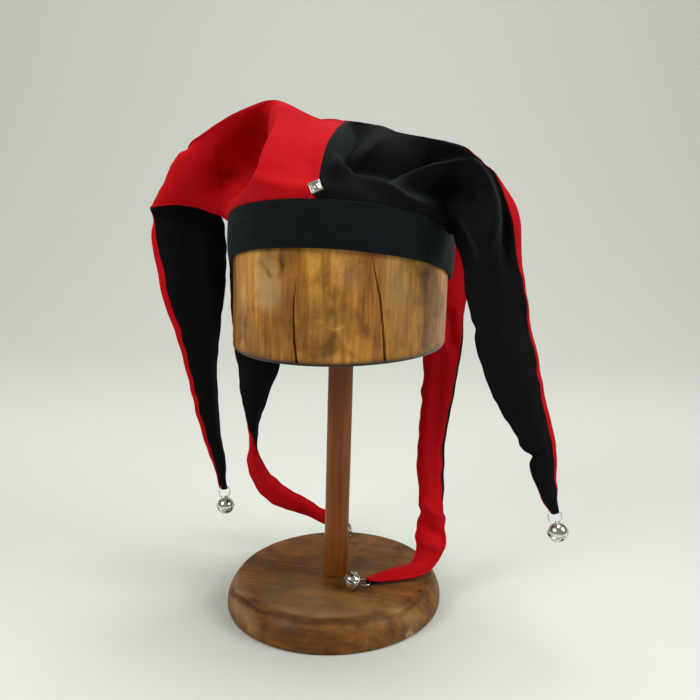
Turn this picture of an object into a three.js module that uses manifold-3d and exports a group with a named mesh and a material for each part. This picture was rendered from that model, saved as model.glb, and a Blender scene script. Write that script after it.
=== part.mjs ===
// Jester hat with four two-coloured tails, on the wooden hat stand that it rests on.
// Millimetres, +Z up. The origin is the centre of the stand's underside. The hat's front
// seam looks along -Y, a bearing of 0 is the front and +90 is +X. Left and right in names
// are those of someone who looks at the front, so right is +X.

import * as THREE from "three";
import { mergeVertices } from "three/addons/utils/BufferGeometryUtils.js";
import Module from "manifold-3d";

// Stand
const STAND_TURN = -15;
const BASE_WIDTH = 180;
const BASE_LENGTH = 200;
const BASE_THICKNESS = 23;
const BASE_ROUNDING = 7;
const BASE_EASING = 2;
const POST_DIAMETER = 20.8;
const POST_LENGTH = 204;
const BLOCK_WIDTH = 165;
const BLOCK_LENGTH = 208;
const BLOCK_SIDE = 76;
const BLOCK_DOME = 66;
const BLOCK_CHAMFER = 3;
const BLOCK_CROWN = 0.85;

// Band, measured at the stand's axis and tilted down to the back
const BAND_HEIGHT = 34;
const BAND_WALL = 2.4;
const BAND_FIT = 1;
const BAND_ABOVE_BLOCK_FOOT = 58.5;
const BAND_TILT = 14.4;
const BAND_LEAN = 1.4;

// Cloth
const CLOTH_WALL = 1.6;
const SEAM_GAP = 0.3;
const CROWN_RISE = 85;
const TAIL_REACH = 100;
const CLOTH_SWELL = 20;
const LEFT_TAIL_DROP = 226;
const RIGHT_TAIL_DROP = 196;
const TIP_SLOT = 2.2;

// Metal
const STUD_SIZE = 8.5;
const STUD_HEIGHT = 3;
const STUD_ABOVE_BAND = 6;
const STUD_TURN = 32;
const STUD_RIM = 1.2;
const STUD_RECESS = 1;
const BELL_DIAMETER = 14.5;
const BELL_WALL = 0.7;
const BELL_SLIT = 1.6;
const SLIT_SPAN = 12.5;
const SLIT_START = 1.8;
const LOOP_DIAMETER = 3.6;
const LOOP_WIRE = 0.8;
const RING_DIAMETER = 11;
const RING_WIRE = 1;
const RING_BITE = 2.8;
const HANGING_BELL_LEAN = 20;

// Places that follow from the sizes
const BLOCK_FOOT = BASE_THICKNESS + POST_LENGTH;
const BAND_FOOT = BLOCK_FOOT + BAND_ABOVE_BLOCK_FOOT;
const RIM = BAND_FOOT + BAND_HEIGHT;
const CLOTH_OUT = BAND_FIT + BAND_WALL / 2;
const STAND_DROP = RIM - BASE_THICKNESS;

// Mesh fineness
const OVAL_SIDES = 40;
const BAND_SIDES = 60;
const DOME_RINGS = 6;
const SECTION_STEPS = 5;
const ROW_STEPS = 2;
const BELL_SIDES = 10;
const BELL_RINGS = 6;
const WIRE_SIDES = 5;
const RING_SIDES = 14;
const LOOP_SIDES = 8;
const POST_SIDES = 20;

// Least sine of a panel's corner, so that a sharp one keeps a short mitre
const CORNER_LIMIT = 0.4;

// Fullness of a seam that climbs the crown: how high it stays upright, how wide it stays level
const SEAM_LIFT = 0.75;
const SEAM_SHOULDER = 0.6;

// Seams that climb from the band to the crown's top, by bearing and by roundness
const VALLEYS = {
  front: { turn: -1, round: 0.6 },
  right: { turn: 116, round: 0.8 },
  back: { turn: 180, round: 1 },
  left: { turn: -116, round: 0.8 },
};

// Each tail is two panels sewn along a top seam and an under seam. A point is [out, turn, rise].
// out up to 1 is a share of the block's oval, and past 1 it adds a share of TAIL_REACH.
// rise above 0 is a share of CROWN_RISE over the rim, below 0 a share of the tail's drop.
// edge is the share of the way along the band from the valley seam to the under seam.
// near and far are the swell of the two panels as shares of CLOTH_SWELL, and wrap is how far
// the panel named in hook runs round past the under seam (or, below 0, past the top seam).
const TAILS = {
  left_front: {
    near: "front",
    far: "left",
    colours: { near: "red", far: "black" },
    names: { near: "left_front_red_panel", far: "left_front_black_panel" },
    under: -76,
    drop: LEFT_TAIL_DROP,
    hook: "near",
    crown: [
      { top: [0, -68, 1], edge: 0, near: 0, far: 0, round: [0.6, 0.8] },
      { top: [0.22, -67, 0.985], edge: 0.2, near: 0.1, far: 0.1, round: [0.55, 0.75] },
      { top: [0.4, -67, 1.06], edge: 0.38, near: 0.1, far: 0.2, round: [0.45, 0.7] },
      { top: [0.6, -68, 1.16], edge: 0.53, near: 0.32, far: 0.3, round: [0.3, 0.6] },
      { top: [0.72, -69, 1.16], edge: 0.66, near: -0.35, far: 0.4, round: [0.1, 0.4] },
      { top: [0.9, -70, 1.07], edge: 0.83, near: -0.1, far: 0.45, round: [0.1, 0.2] },
      { top: [1.09, -70.5, 0.95], edge: 1, near: 0.3, far: 0.5, round: [0, 0] },
    ],
    tail: [
      { top: [1.19, -71.5, 0.87], under: [1.16, -75.5, 0.12], near: 0.3, far: 0.4, wrap: 0 },
      { top: [1.28, -73, 0.79], under: [1.38, -74.5, 0.2], near: 0.35, far: 0.2, wrap: 0 },
      { top: [1.33, -77, 0.68], under: [1.6, -75.5, 0.2], near: 0.5, far: 0.15, wrap: 0 },
      { top: [1.33, -82.5, 0.54], under: [1.68, -78, 0.16], near: 0.5, far: 0.15, wrap: 0.1 },
      { top: [1.24, -90, 0.3], under: [1.66, -81, 0.06], near: 0.4, far: 0.3, wrap: 0.5 },
      { top: [1.17, -92, 0.02], under: [1.65, -82, -0.04], near: 0.35, far: 0.35, wrap: 0.9 },
      { top: [1.17, -91.5, -0.146], under: [1.59, -81.5, -0.167], near: 0.35, far: 0.4, wrap: 0.9 },
      { top: [1.18, -91, -0.31], under: [1.52, -81, -0.3], near: 0.3, far: 0.35, wrap: 0.8 },
      { top: [1.21, -90, -0.51], under: [1.38, -81, -0.51], near: 0.25, far: 0.3, wrap: 0.5 },
      { top: [1.2, -89, -0.69], under: [1.29, -82, -0.7], near: 0.22, far: 0.22, wrap: 0.35 },
      { top: [1.15, -88, -0.84], under: [1.21, -83.3, -0.85], near: 0.15, far: 0.15, wrap: 0.25 },
      { top: [1.1, -86.5, -1], under: [1.14, -84.5, -1], near: 0.04, far: 0.04, wrap: 0 },
    ],
  },
  right_front: {
    near: "front",
    far: "right",
    colours: { near: "black", far: "red" },
    names: { near: "right_front_black_panel", far: "right_front_red_panel" },
    under: 74,
    drop: RIGHT_TAIL_DROP,
    hook: "far",
    crown: [
      { top: [0, 75, 1], edge: 0, near: 0, far: 0, round: [0.6, 0.8] },
      { top: [0.18, 75, 1.005], edge: 0.14, near: 0.12, far: 0.1, round: [0.6, 0.75] },
      { top: [0.4, 75, 0.96], edge: 0.3, near: -0.3, far: 0.2, round: [0.5, 0.7] },
      { top: [0.58, 75, 0.915], edge: 0.48, near: -0.1, far: 0.3, round: [0.5, 0.6] },
      { top: [0.75, 74, 0.88], edge: 0.66, near: 0.25, far: 0.4, round: [0.4, 0.4] },
      { top: [0.95, 72.5, 0.83], edge: 0.84, near: 0.3, far: 0.45, round: [0.3, 0.2] },
      { top: [1.17, 70.5, 0.765], edge: 1, near: 0.3, far: 0.5, round: [0.1, 0] },
    ],
    tail: [
      { top: [1.38, 69, 0.66], under: [1.1, 72, 0.0], near: 0.35, far: 0.5, wrap: -0.2 },
      { top: [1.47, 68.1, 0.5], under: [1.2, 68, -0.09], near: 0.5, far: 0.5, wrap: -0.5 },
      { top: [1.54, 68, 0.32], under: [1.26, 64, -0.14], near: 0.65, far: 0.5, wrap: -0.8 },
      { top: [1.61, 67.6, 0.13], under: [1.3, 61.6, -0.18], near: 0.5, far: 0.5, wrap: -0.8 },
      { top: [1.66, 66.6, -0.06], under: [1.34, 59.5, -0.235], near: 0.3, far: 0.5, wrap: -0.6 },
      { top: [1.74, 66, -0.22], under: [1.43, 57.5, -0.33], near: 0.3, far: 0.45, wrap: -0.6 },
      { top: [1.83, 65.1, -0.4], under: [1.55, 57, -0.48], near: 0.3, far: 0.4, wrap: -0.6 },
      { top: [1.92, 64.7, -0.56], under: [1.68, 58.7, -0.61], near: 0.25, far: 0.35, wrap: -0.6 },
      { top: [2, 64.4, -0.69], under: [1.82, 60.5, -0.72], near: 0.2, far: 0.3, wrap: -0.5 },
      { top: [2.06, 64.2, -0.82], under: [1.93, 61.5, -0.83], near: 0.15, far: 0.2, wrap: -0.35 },
      { top: [2.11, 64.3, -0.98], under: [2.07, 63.2, -0.985], near: 0.04, far: 0.04, wrap: 0 },
    ],
  },
  right_back: {
    near: "right",
    far: "back",
    colours: { near: "black", far: "red" },
    names: { near: "right_back_black_panel", far: "right_back_red_panel" },
    under: 142,
    drop: STAND_DROP,
    hook: "near",
    crown: [
      { top: [0, 141, 1], edge: 0, near: 0, far: 0, round: [0.8, 1] },
      { top: [0.3, 141, 1.01], edge: 0.25, near: 0.15, far: 0.1, round: [0.7, 0.9] },
      { top: [0.58, 141, 1], edge: 0.5, near: 0.3, far: 0.2, round: [0.6, 0.8] },
      { top: [0.82, 140, 0.95], edge: 0.76, near: 0.3, far: 0.3, round: [0.5, 0.6] },
      { top: [0.98, 138.5, 0.87], edge: 1, near: 0.3, far: 0.3, round: [0.2, 0.2] },
    ],
    tail: [
      { top: [1.06, 137.5, 0.76], under: [1.09, 137, -0.012], near: 0.3, far: 0.25, wrap: 0 },
      { top: [1.16, 136.5, 0.62], under: [1.28, 133.5, 0.03], near: 0.35, far: 0.25, wrap: 0 },
      { top: [1.18, 140.5, 0.38], under: [1.44, 131.5, -0.012], near: 0.45, far: 0.2, wrap: 0 },
      { top: [1.18, 147, 0.124], under: [1.48, 134, -0.066], near: 0.35, far: 0.15, wrap: 0 },
      { top: [1.12, 151, -0.066], under: [1.41, 134.5, -0.147], near: 0.25, far: 0.25, wrap: 0.1 },
      { top: [1.05, 150, -0.194], under: [1.32, 131.5, -0.228], near: 0.2, far: 0.3, wrap: 0.15 },
      { top: [1.01, 144, -0.32], under: [1.25, 127.5, -0.33], near: 0.2, far: 0.3, wrap: 0.15 },
      { top: [0.94, 138, -0.433], under: [1.19, 125, -0.447], near: 0.2, far: 0.3, wrap: 0.15 },
      { top: [0.89, 133, -0.555], under: [1.11, 123, -0.565], near: 0.2, far: 0.25, wrap: 0.15 },
      { top: [0.83, 128, -0.673], under: [1.06, 119.5, -0.686], near: 0.2, far: 0.25, wrap: 0.15 },
      { top: [0.82, 121.5, -0.774], under: [1.06, 116, -0.771], near: 0.2, far: 0.25, wrap: 0.1 },
      { top: [0.82, 115.5, -0.855], under: [1.06, 109.5, -0.855], near: 0.15, far: 0.25, wrap: 0 },
      { top: [0.8, 109.5, -0.936], under: [1.05, 105, -0.936], near: 0.12, far: 0.25, wrap: 0 },
      { top: [0.74, 101.5, -0.973], under: [0.93, 99, -0.987], near: 0.06, far: 0.25, wrap: 0 },
      { top: [0.63, 97.5, -0.975], under: [0.77, 86.5, -0.988], near: 0.04, far: 0.22, wrap: 0 },
      { top: [0.47, 83, -0.98], under: [0.59, 75, -0.988], near: 0.03, far: 0.2, wrap: 0 },
      { top: [0.39, 59.5, -0.987], under: [0.45, 57.5, -0.988], near: 0.02, far: 0.02, wrap: 0 },
    ],
  },
  left_back: {
    near: "left",
    far: "back",
    colours: { near: "red", far: "black" },
    names: { near: "left_back_red_panel", far: "left_back_black_panel" },
    under: -142,
    drop: STAND_DROP,
    hook: "near",
    crown: [
      { top: [0, -140, 1], edge: 0, near: 0, far: 0, round: [0.8, 1] },
      { top: [0.3, -140, 1.01], edge: 0.25, near: 0.15, far: 0.1, round: [0.7, 0.9] },
      { top: [0.58, -140, 1], edge: 0.5, near: 0.3, far: 0.2, round: [0.6, 0.8] },
      { top: [0.82, -139, 0.95], edge: 0.76, near: 0.3, far: 0.3, round: [0.5, 0.6] },
      { top: [1.02, -137, 0.87], edge: 1, near: 0.3, far: 0.3, round: [0.2, 0.2] },
    ],
    tail: [
      { top: [1.16, -136, 0.76], under: [1.18, -132.5, -0.005], near: 0.35, far: 0.35, wrap: 0 },
      { top: [1.24, -135, 0.62], under: [1.36, -125, 0.076], near: 0.4, far: 0.4, wrap: 0 },
      { top: [1.3, -138, 0.42], under: [1.52, -122.5, 0.03], near: 0.5, far: 0.3, wrap: 0 },
      { top: [1.33, -142, 0.16], under: [1.58, -124, -0.05], near: 0.35, far: 0.2, wrap: 0.05 },
      { top: [1.29, -144, -0.066], under: [1.51, -121.5, -0.126], near: 0.3, far: 0.25, wrap: 0.25 },
      { top: [1.21, -141, -0.194], under: [1.43, -118, -0.214], near: 0.25, far: 0.3, wrap: 0.4 },
      { top: [1.14, -138, -0.32], under: [1.37, -116.5, -0.33], near: 0.25, far: 0.3, wrap: 0.4 },
      { top: [1.1, -134.5, -0.45], under: [1.35, -119, -0.437], near: 0.25, far: 0.3, wrap: 0.35 },
      { top: [1.16, -131.5, -0.51], under: [1.34, -120.5, -0.51], near: 0.25, far: 0.25, wrap: 0.25 },
      { top: [1.26, -130, -0.605], under: [1.33, -122.5, -0.595], near: 0.25, far: 0.2, wrap: 0.1 },
      { top: [1.35, -129.5, -0.683], under: [1.28, -126.5, -0.69], near: 0.2, far: 0.2, wrap: 0 },
      { top: [1.36, -125, -0.761], under: [1.28, -130.5, -0.764], near: 0.2, far: 0.15, wrap: 0 },
      { top: [1.31, -129, -0.855], under: [1.24, -135.5, -0.818], near: 0.2, far: 0.15, wrap: 0 },
      { top: [1.21, -136, -0.914], under: [1.14, -143.5, -0.868], near: 0.2, far: 0.15, wrap: 0 },
      { top: [1.05, -149.5, -0.943], under: [1.02, -155.5, -0.909], near: 0.15, far: 0.12, wrap: 0 },
      { top: [0.93, -161.5, -0.971], under: [0.96, -163.5, -0.936], near: 0.12, far: 0.1, wrap: 0 },
      { top: [0.85, -168.5, -0.983], under: [0.88, -170.5, -0.963], near: 0.02, far: 0.02, wrap: 0 },
    ],
  },
};

const UP = new THREE.Vector3(0, 0, 1);
const group = new THREE.Group();

const COLOURS = {
  red: { color: 0xc4121f, roughness: 0.9, metalness: 0 },
  black: { color: 0x14171a, roughness: 0.92, metalness: 0 },
  band: { color: 0x1b2226, roughness: 0.9, metalness: 0 },
  block: { color: 0x8a6234, roughness: 0.6, metalness: 0 },
  post: { color: 0x6a3f1a, roughness: 0.6, metalness: 0 },
  base: { color: 0x6b4426, roughness: 0.65, metalness: 0 },
  nickel: { color: 0xc9c9c4, roughness: 0.22, metalness: 1 },
};

// Adds a named mesh with a material of its own
function addMesh(name, geometry, finish) {
  const mesh = new THREE.Mesh(geometry, new THREE.MeshStandardMaterial(COLOURS[finish]));
  mesh.name = name;
  group.add(mesh);
  return mesh;
}

function radians(degrees) {
  return THREE.MathUtils.degToRad(degrees);
}

// Radius of an oval about the stand's axis at a bearing
function ovalRadius(halfWidth, halfLength, turn) {
  const angle = radians(turn - STAND_TURN);
  return 1 / Math.hypot(Math.cos(angle) / halfLength, Math.sin(angle) / halfWidth);
}

function blockRadius(turn) {
  return ovalRadius(BLOCK_WIDTH / 2, BLOCK_LENGTH / 2, turn);
}

// Point at a distance from the axis, at a bearing and a height
function polar(radius, turn, height) {
  const angle = radians(turn);
  return new THREE.Vector3(radius * Math.sin(angle), -radius * Math.cos(angle), height);
}

// How much the tilted band stands above its height at the axis
function bandLift(x, y) {
  return x * Math.tan(radians(BAND_LEAN)) - y * Math.tan(radians(BAND_TILT));
}

// Point in the middle of the cloth just above the band's top edge
function edgePoint(turn) {
  const point = polar(blockRadius(turn) + CLOTH_OUT, turn, 0);
  point.z = RIM + SEAM_GAP + bandLift(point.x, point.y);
  return point;
}

function hatPoint([out, turn, rise], drop) {
  const oval = blockRadius(turn) + CLOTH_OUT;
  const radius = Math.min(out, 1) * oval + Math.max(out - 1, 0) * TAIL_REACH;
  const height = RIM + (rise > 0 ? rise * CROWN_RISE : rise * drop);
  return polar(radius, turn, height);
}

// Indexed triangles to a geometry that faces outwards
function solidGeometry(points, faces) {
  let volume = 0;
  for (const [a, b, c] of faces) {
    volume += points[a].dot(points[b].clone().cross(points[c]));
  }
  const turned = volume < 0 ? faces.map(([a, b, c]) => [a, c, b]) : faces;
  const geometry = new THREE.BufferGeometry();
  const flat = points.flatMap((point) => point.toArray());
  geometry.setAttribute("position", new THREE.Float32BufferAttribute(flat, 3));
  geometry.setIndex(turned.flat());
  geometry.computeVertexNormals();
  return geometry;
}

function quad(faces, a, b, c, d) {
  faces.push([a, b, c], [a, c, d]);
}

// Stack of ovals, each { inset, height }, closed by a flat face below and above
function ovalStack(rings, halfWidth, halfLength) {
  const points = [];
  const faces = [];
  for (const { inset, height } of rings) {
    for (let side = 0; side < OVAL_SIDES; side += 1) {
      const turn = STAND_TURN + (360 * side) / OVAL_SIDES;
      const radius = ovalRadius(halfWidth - inset, halfLength - inset, turn);
      points.push(polar(radius, turn, height));
    }
  }
  for (let ring = 0; ring < rings.length - 1; ring += 1) {
    for (let side = 0; side < OVAL_SIDES; side += 1) {
      const next = (side + 1) % OVAL_SIDES;
      const low = ring * OVAL_SIDES;
      const high = low + OVAL_SIDES;
      quad(faces, low + side, low + next, high + next, high + side);
    }
  }
  for (const ring of [0, rings.length - 1]) {
    const middle = points.length;
    points.push(new THREE.Vector3(0, 0, rings[ring].height));
    for (let side = 0; side < OVAL_SIDES; side += 1) {
      const a = ring * OVAL_SIDES + side;
      const b = ring * OVAL_SIDES + ((side + 1) % OVAL_SIDES);
      faces.push(ring === 0 ? [middle, b, a] : [middle, a, b]);
    }
  }
  return solidGeometry(points, faces);
}

function makeBase() {
  const rings = [
    { inset: BASE_EASING, height: 0 },
    { inset: 0, height: BASE_EASING },
  ];
  for (const step of [0, 0.3, 0.6, 1]) {
    const angle = (step * Math.PI) / 2;
    rings.push({
      inset: BASE_ROUNDING * (1 - Math.cos(angle)),
      height: BASE_THICKNESS - BASE_ROUNDING * (1 - Math.sin(angle)),
    });
  }
  addMesh("stand_base", ovalStack(rings, BASE_WIDTH / 2, BASE_LENGTH / 2), "base");
}

function makePost() {
  const length = POST_LENGTH - 2 * SEAM_GAP;
  const radius = POST_DIAMETER / 2;
  const geometry = new THREE.CylinderGeometry(radius, radius, length, POST_SIDES);
  const post = addMesh("stand_post", geometry, "post");
  post.rotation.x = Math.PI / 2;
  post.position.z = BASE_THICKNESS + POST_LENGTH / 2;
}

function makeBlock() {
  const rings = [
    { inset: BLOCK_CHAMFER, height: BLOCK_FOOT },
    { inset: 0, height: BLOCK_FOOT + BLOCK_CHAMFER },
    { inset: 0, height: BLOCK_FOOT + BLOCK_SIDE },
  ];
  const half = BLOCK_WIDTH / 2;
  for (let ring = 1; ring <= DOME_RINGS; ring += 1) {
    const angle = (Math.PI / 2) * (ring / (DOME_RINGS + 0.5));
    rings.push({
      inset: half * (1 - Math.cos(angle) ** BLOCK_CROWN),
      height: BLOCK_FOOT + BLOCK_SIDE + BLOCK_DOME * Math.sin(angle),
    });
  }
  addMesh("stand_block", ovalStack(rings, half, BLOCK_LENGTH / 2), "block");
}

function makeBand() {
  const points = [];
  const faces = [];
  const corners = [
    [BAND_FIT, 0],
    [BAND_FIT + BAND_WALL, 0],
    [BAND_FIT + BAND_WALL, BAND_HEIGHT],
    [BAND_FIT, BAND_HEIGHT],
  ];
  const count = corners.length;
  for (let side = 0; side < BAND_SIDES; side += 1) {
    const turn = (360 * side) / BAND_SIDES;
    for (const [out, height] of corners) {
      const point = polar(blockRadius(turn) + out, turn, BAND_FOOT + height);
      point.z += bandLift(point.x, point.y);
      points.push(point);
    }
    const next = ((side + 1) % BAND_SIDES) * count;
    for (let corner = 0; corner < count; corner += 1) {
      const after = (corner + 1) % count;
      const here = side * count;
      quad(faces, here + corner, here + after, next + after, next + corner);
    }
  }
  addMesh("band", solidGeometry(points, faces), "band");
}

// Smooth curve through named values, one per row
function smoothAt(values, position) {
  const last = values.length - 1;
  const row = Math.min(Math.floor(position), last - 1);
  const part = position - row;
  const before = values[Math.max(row - 1, 0)];
  const after = values[Math.min(row + 2, last)];
  const [from, to] = [values[row], values[row + 1]];
  const slopeIn = (to - before) / 2;
  const slopeOut = (after - from) / 2;
  const square = part * part;
  const cube = square * part;
  return from * (2 * cube - 3 * square + 1) + to * (3 * square - 2 * cube)
    + slopeIn * (cube - 2 * square + part) + slopeOut * (cube - square);
}

function smoothPoint(points, position) {
  const along = (axis) => smoothAt(points.map((point) => point[axis]), position);
  return new THREE.Vector3(along("x"), along("y"), along("z"));
}

// Shortest way round from one bearing to another
function turnBetween(from, to, share) {
  const way = ((to - from + 540) % 360) - 180;
  return from + way * share;
}

// Share of the hook at a place on the section: 1 a fifth of the way in, 0 at both ends
function hookShape(share) {
  const fullest = 0.2 * (1 - 0.2) ** 4;
  return (share * (1 - share) ** 4) / fullest;
}

// Curve of one panel from its lower edge to the top seam
function panelSection(low, high, outward, swell, round, wrap) {
  const chord = high.clone().sub(low);
  const level = new THREE.Vector3(chord.x, chord.y, 0);
  const push = outward.clone().multiplyScalar((swell * 4) / 3);
  const first = low.clone().addScaledVector(chord, (1 - round) / 3);
  first.addScaledVector(UP, chord.z * SEAM_LIFT * round).add(push);
  const second = high.clone().addScaledVector(chord, -(1 - round) / 3);
  second.addScaledVector(level, -SEAM_SHOULDER * round).add(push);
  const curve = new THREE.CubicBezierCurve3(low, first, second, high);
  const side = chord.clone().normalize();
  const points = [];
  for (let step = 0; step <= SECTION_STEPS; step += 1) {
    const share = step / SECTION_STEPS;
    const past = wrap > 0 ? hookShape(share) : hookShape(1 - share);
    points.push(curve.getPoint(share).addScaledVector(side, -wrap * past));
  }
  return points;
}

// Whether a panel's stations run with its outside on the right (1) or on the left (-1)
function panelSign(tail, side) {
  const start = VALLEYS[tail.near].turn;
  const way = Math.sign(turnBetween(start, tail.under, 1) - start);
  return side === "near" ? -way : way;
}

// Grid of points of one panel, station by station from the valley seam to the tip
function panelGrid(tail, side) {
  const rows = [...tail.crown, ...tail.tail];
  const bend = tail.crown.length - 1;
  const valley = VALLEYS[tail[side]];
  const index = side === "near" ? 0 : 1;
  const tops = rows.map((row) => hatPoint(row.top, tail.drop));
  const foot = edgePoint(tail.under);
  const unders = rows.map((row) => (row.under ? hatPoint(row.under, tail.drop) : foot));
  const edges = rows.map((row) => row.edge ?? 1);
  const swells = rows.map((row) => row[side] * CLOTH_SWELL);
  const rounds = rows.map((row) => (row.round ? row.round[index] : 0));
  const wraps = rows.map((row) => (tail.hook === side ? (row.wrap ?? 0) * CLOTH_SWELL : 0));
  const stations = (rows.length - 1) * ROW_STEPS;
  const lows = [];
  const highs = [];
  for (let station = 0; station <= stations; station += 1) {
    const position = station / ROW_STEPS;
    const share = Math.min(smoothAt(edges, position), 1);
    const along = turnBetween(valley.turn, tail.under, share);
    const hanging = position > bend;
    lows.push(hanging ? smoothPoint(unders.slice(bend), position - bend) : edgePoint(along));
    highs.push(smoothPoint(tops, position));
  }
  const middles = lows.map((low, station) => low.clone().add(highs[station]).multiplyScalar(0.5));
  let facing;
  const grid = lows.map((low, station) => {
    const position = station / ROW_STEPS;
    const before = middles[Math.max(station - 1, 0)];
    const after = middles[Math.min(station + 1, stations)];
    const chord = highs[station].clone().sub(low);
    facing = chord.cross(after.clone().sub(before)).normalize().multiplyScalar(panelSign(tail, side));
    const round = station === 0 ? valley.round : smoothAt(rounds, position);
    const swell = smoothAt(swells, position);
    const wrap = smoothAt(wraps, position);
    return panelSection(low, highs[station], facing, swell, round, wrap);
  });
  return { grid, facing };
}

// Name shared by the grid points that two or more panels have in common
function seamKey({ tailName, tail, side }, station, step) {
  const bend = (tail.crown.length - 1) * ROW_STEPS;
  if (station === 0) {
    return step === SECTION_STEPS ? "apex" : `${tail[side]}:${step}`;
  }
  if (step === SECTION_STEPS) {
    return `${tailName}:top:${station}`;
  }
  if (step === 0 && station >= bend) {
    return `${tailName}:under:${station}`;
  }
  return `${tailName}:${side}:${station}:${step}`;
}

function gridNormals(grid, sign) {
  const normals = grid.map((row) => row.map(() => new THREE.Vector3()));
  for (let i = 0; i < grid.length - 1; i += 1) {
    for (let j = 0; j < SECTION_STEPS; j += 1) {
      const across = grid[i + 1][j + 1].clone().sub(grid[i][j]);
      const back = grid[i][j + 1].clone().sub(grid[i + 1][j]);
      const face = back.cross(across).normalize().multiplyScalar(sign);
      for (const [a, b] of [[i, j], [i + 1, j], [i, j + 1], [i + 1, j + 1]]) {
        normals[a][b].add(face);
      }
    }
  }
  return normals.map((row) => row.map((normal) => normal.normalize()));
}

// Keeps half the seam gap between a panel's edge and its neighbour
function seamShift(grid, i, j) {
  const last = grid.length - 1;
  const shifts = [];
  if (i === 0) shifts.push(grid[1][j].clone().sub(grid[0][j]).normalize());
  if (i === last) shifts.push(grid[last - 1][j].clone().sub(grid[last][j]).normalize());
  if (j === 0) shifts.push(grid[i][1].clone().sub(grid[i][0]).normalize());
  if (j === SECTION_STEPS) shifts.push(grid[i][j - 1].clone().sub(grid[i][j]).normalize());
  const total = new THREE.Vector3();
  const corner = shifts.length === 2;
  const spread = corner ? Math.max(shifts[0].clone().cross(shifts[1]).length(), CORNER_LIMIT) : 1;
  for (const shift of shifts) total.addScaledVector(shift, SEAM_GAP / 2 / spread);
  return total;
}

// Closed thin wall about a grid of points
function panelSolid(grid, normals) {
  const rows = grid.length;
  const columns = SECTION_STEPS + 1;
  const points = [];
  for (const half of [1, -1]) {
    for (let i = 0; i < rows; i += 1) {
      for (let j = 0; j < columns; j += 1) {
        const point = grid[i][j].clone().add(seamShift(grid, i, j));
        points.push(point.addScaledVector(normals[i][j], (half * CLOTH_WALL) / 2));
      }
    }
  }
  const at = (skin, i, j) => skin * rows * columns + i * columns + j;
  const faces = [];
  for (let i = 0; i < rows - 1; i += 1) {
    for (let j = 0; j < columns - 1; j += 1) {
      quad(faces, at(0, i, j), at(0, i + 1, j), at(0, i + 1, j + 1), at(0, i, j + 1));
      quad(faces, at(1, i, j), at(1, i, j + 1), at(1, i + 1, j + 1), at(1, i + 1, j));
    }
    quad(faces, at(0, i, 0), at(1, i, 0), at(1, i + 1, 0), at(0, i + 1, 0));
    const top = columns - 1;
    quad(faces, at(0, i + 1, top), at(1, i + 1, top), at(1, i, top), at(0, i, top));
  }
  for (let j = 0; j < columns - 1; j += 1) {
    quad(faces, at(0, 0, j + 1), at(1, 0, j + 1), at(1, 0, j), at(0, 0, j));
    const tip = rows - 1;
    quad(faces, at(0, tip, j), at(1, tip, j), at(1, tip, j + 1), at(0, tip, j + 1));
  }
  return solidGeometry(points, faces);
}

// All eight panels, with walls mitred where panels meet
function makePanels() {
  const panels = [];
  const shared = new Map();
  for (const [tailName, tail] of Object.entries(TAILS)) {
    for (const side of ["near", "far"]) {
      const panel = { tailName, tail, side, ...panelGrid(tail, side) };
      gridNormals(panel.grid, panelSign(tail, side)).forEach((row, station) => {
        row.forEach((normal, step) => {
          const key = seamKey(panel, station, step);
          shared.set(key, (shared.get(key) ?? new THREE.Vector3()).add(normal));
        });
      });
      panels.push(panel);
    }
  }
  for (const panel of panels) {
    const { tail, side, grid, facing } = panel;
    const bend = (tail.crown.length - 1) * ROW_STEPS;
    const tip = grid.length - 1;
    const normals = grid.map((row, station) => row.map((_, step) => {
      if (station === tip) return facing;
      const mean = shared.get(seamKey(panel, station, step)).clone();
      if (step === 0 && station <= bend) mean.setZ(0);
      return mean.normalize();
    }));
    for (const point of grid[tip]) point.addScaledVector(facing, TIP_SLOT);
    addMesh(tail.names[side], panelSolid(grid, normals), tail.colours[side]);
  }
}

// Middle, direction and facing of a tail's open end
function tailEnd(tail) {
  const last = tail.tail.length - 1;
  const [before, end] = [last - 1 / ROW_STEPS, last].map((position) => {
    const [top, under] = ["top", "under"].map((seam) => {
      const points = tail.tail.map((row) => hatPoint(row[seam], tail.drop));
      return smoothPoint(points, position);
    });
    return { top, under, middle: top.clone().add(under).multiplyScalar(0.5) };
  });
  const along = end.middle.clone().sub(before.middle).normalize();
  const across = end.top.clone().sub(end.under);
  across.addScaledVector(along, -across.dot(along)).normalize();
  const facing = across.clone().cross(along).normalize();
  return { middle: end.middle, along, across, facing };
}

function toSolid(wasm, geometry) {
  const bare = geometry.index ? geometry.clone() : geometry;
  bare.deleteAttribute("normal");
  bare.deleteAttribute("uv");
  const merged = mergeVertices(bare, 1e-4);
  return new wasm.Manifold(new wasm.Mesh({
    numProp: 3,
    vertProperties: new Float32Array(merged.attributes.position.array),
    triVerts: new Uint32Array(merged.index.array),
  }));
}

function fromSolid(solid) {
  const { vertProperties, triVerts } = solid.getMesh();
  const geometry = new THREE.BufferGeometry();
  geometry.setAttribute("position", new THREE.Float32BufferAttribute(vertProperties, 3));
  geometry.setIndex(Array.from(triVerts));
  geometry.computeVertexNormals();
  return geometry;
}

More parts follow.
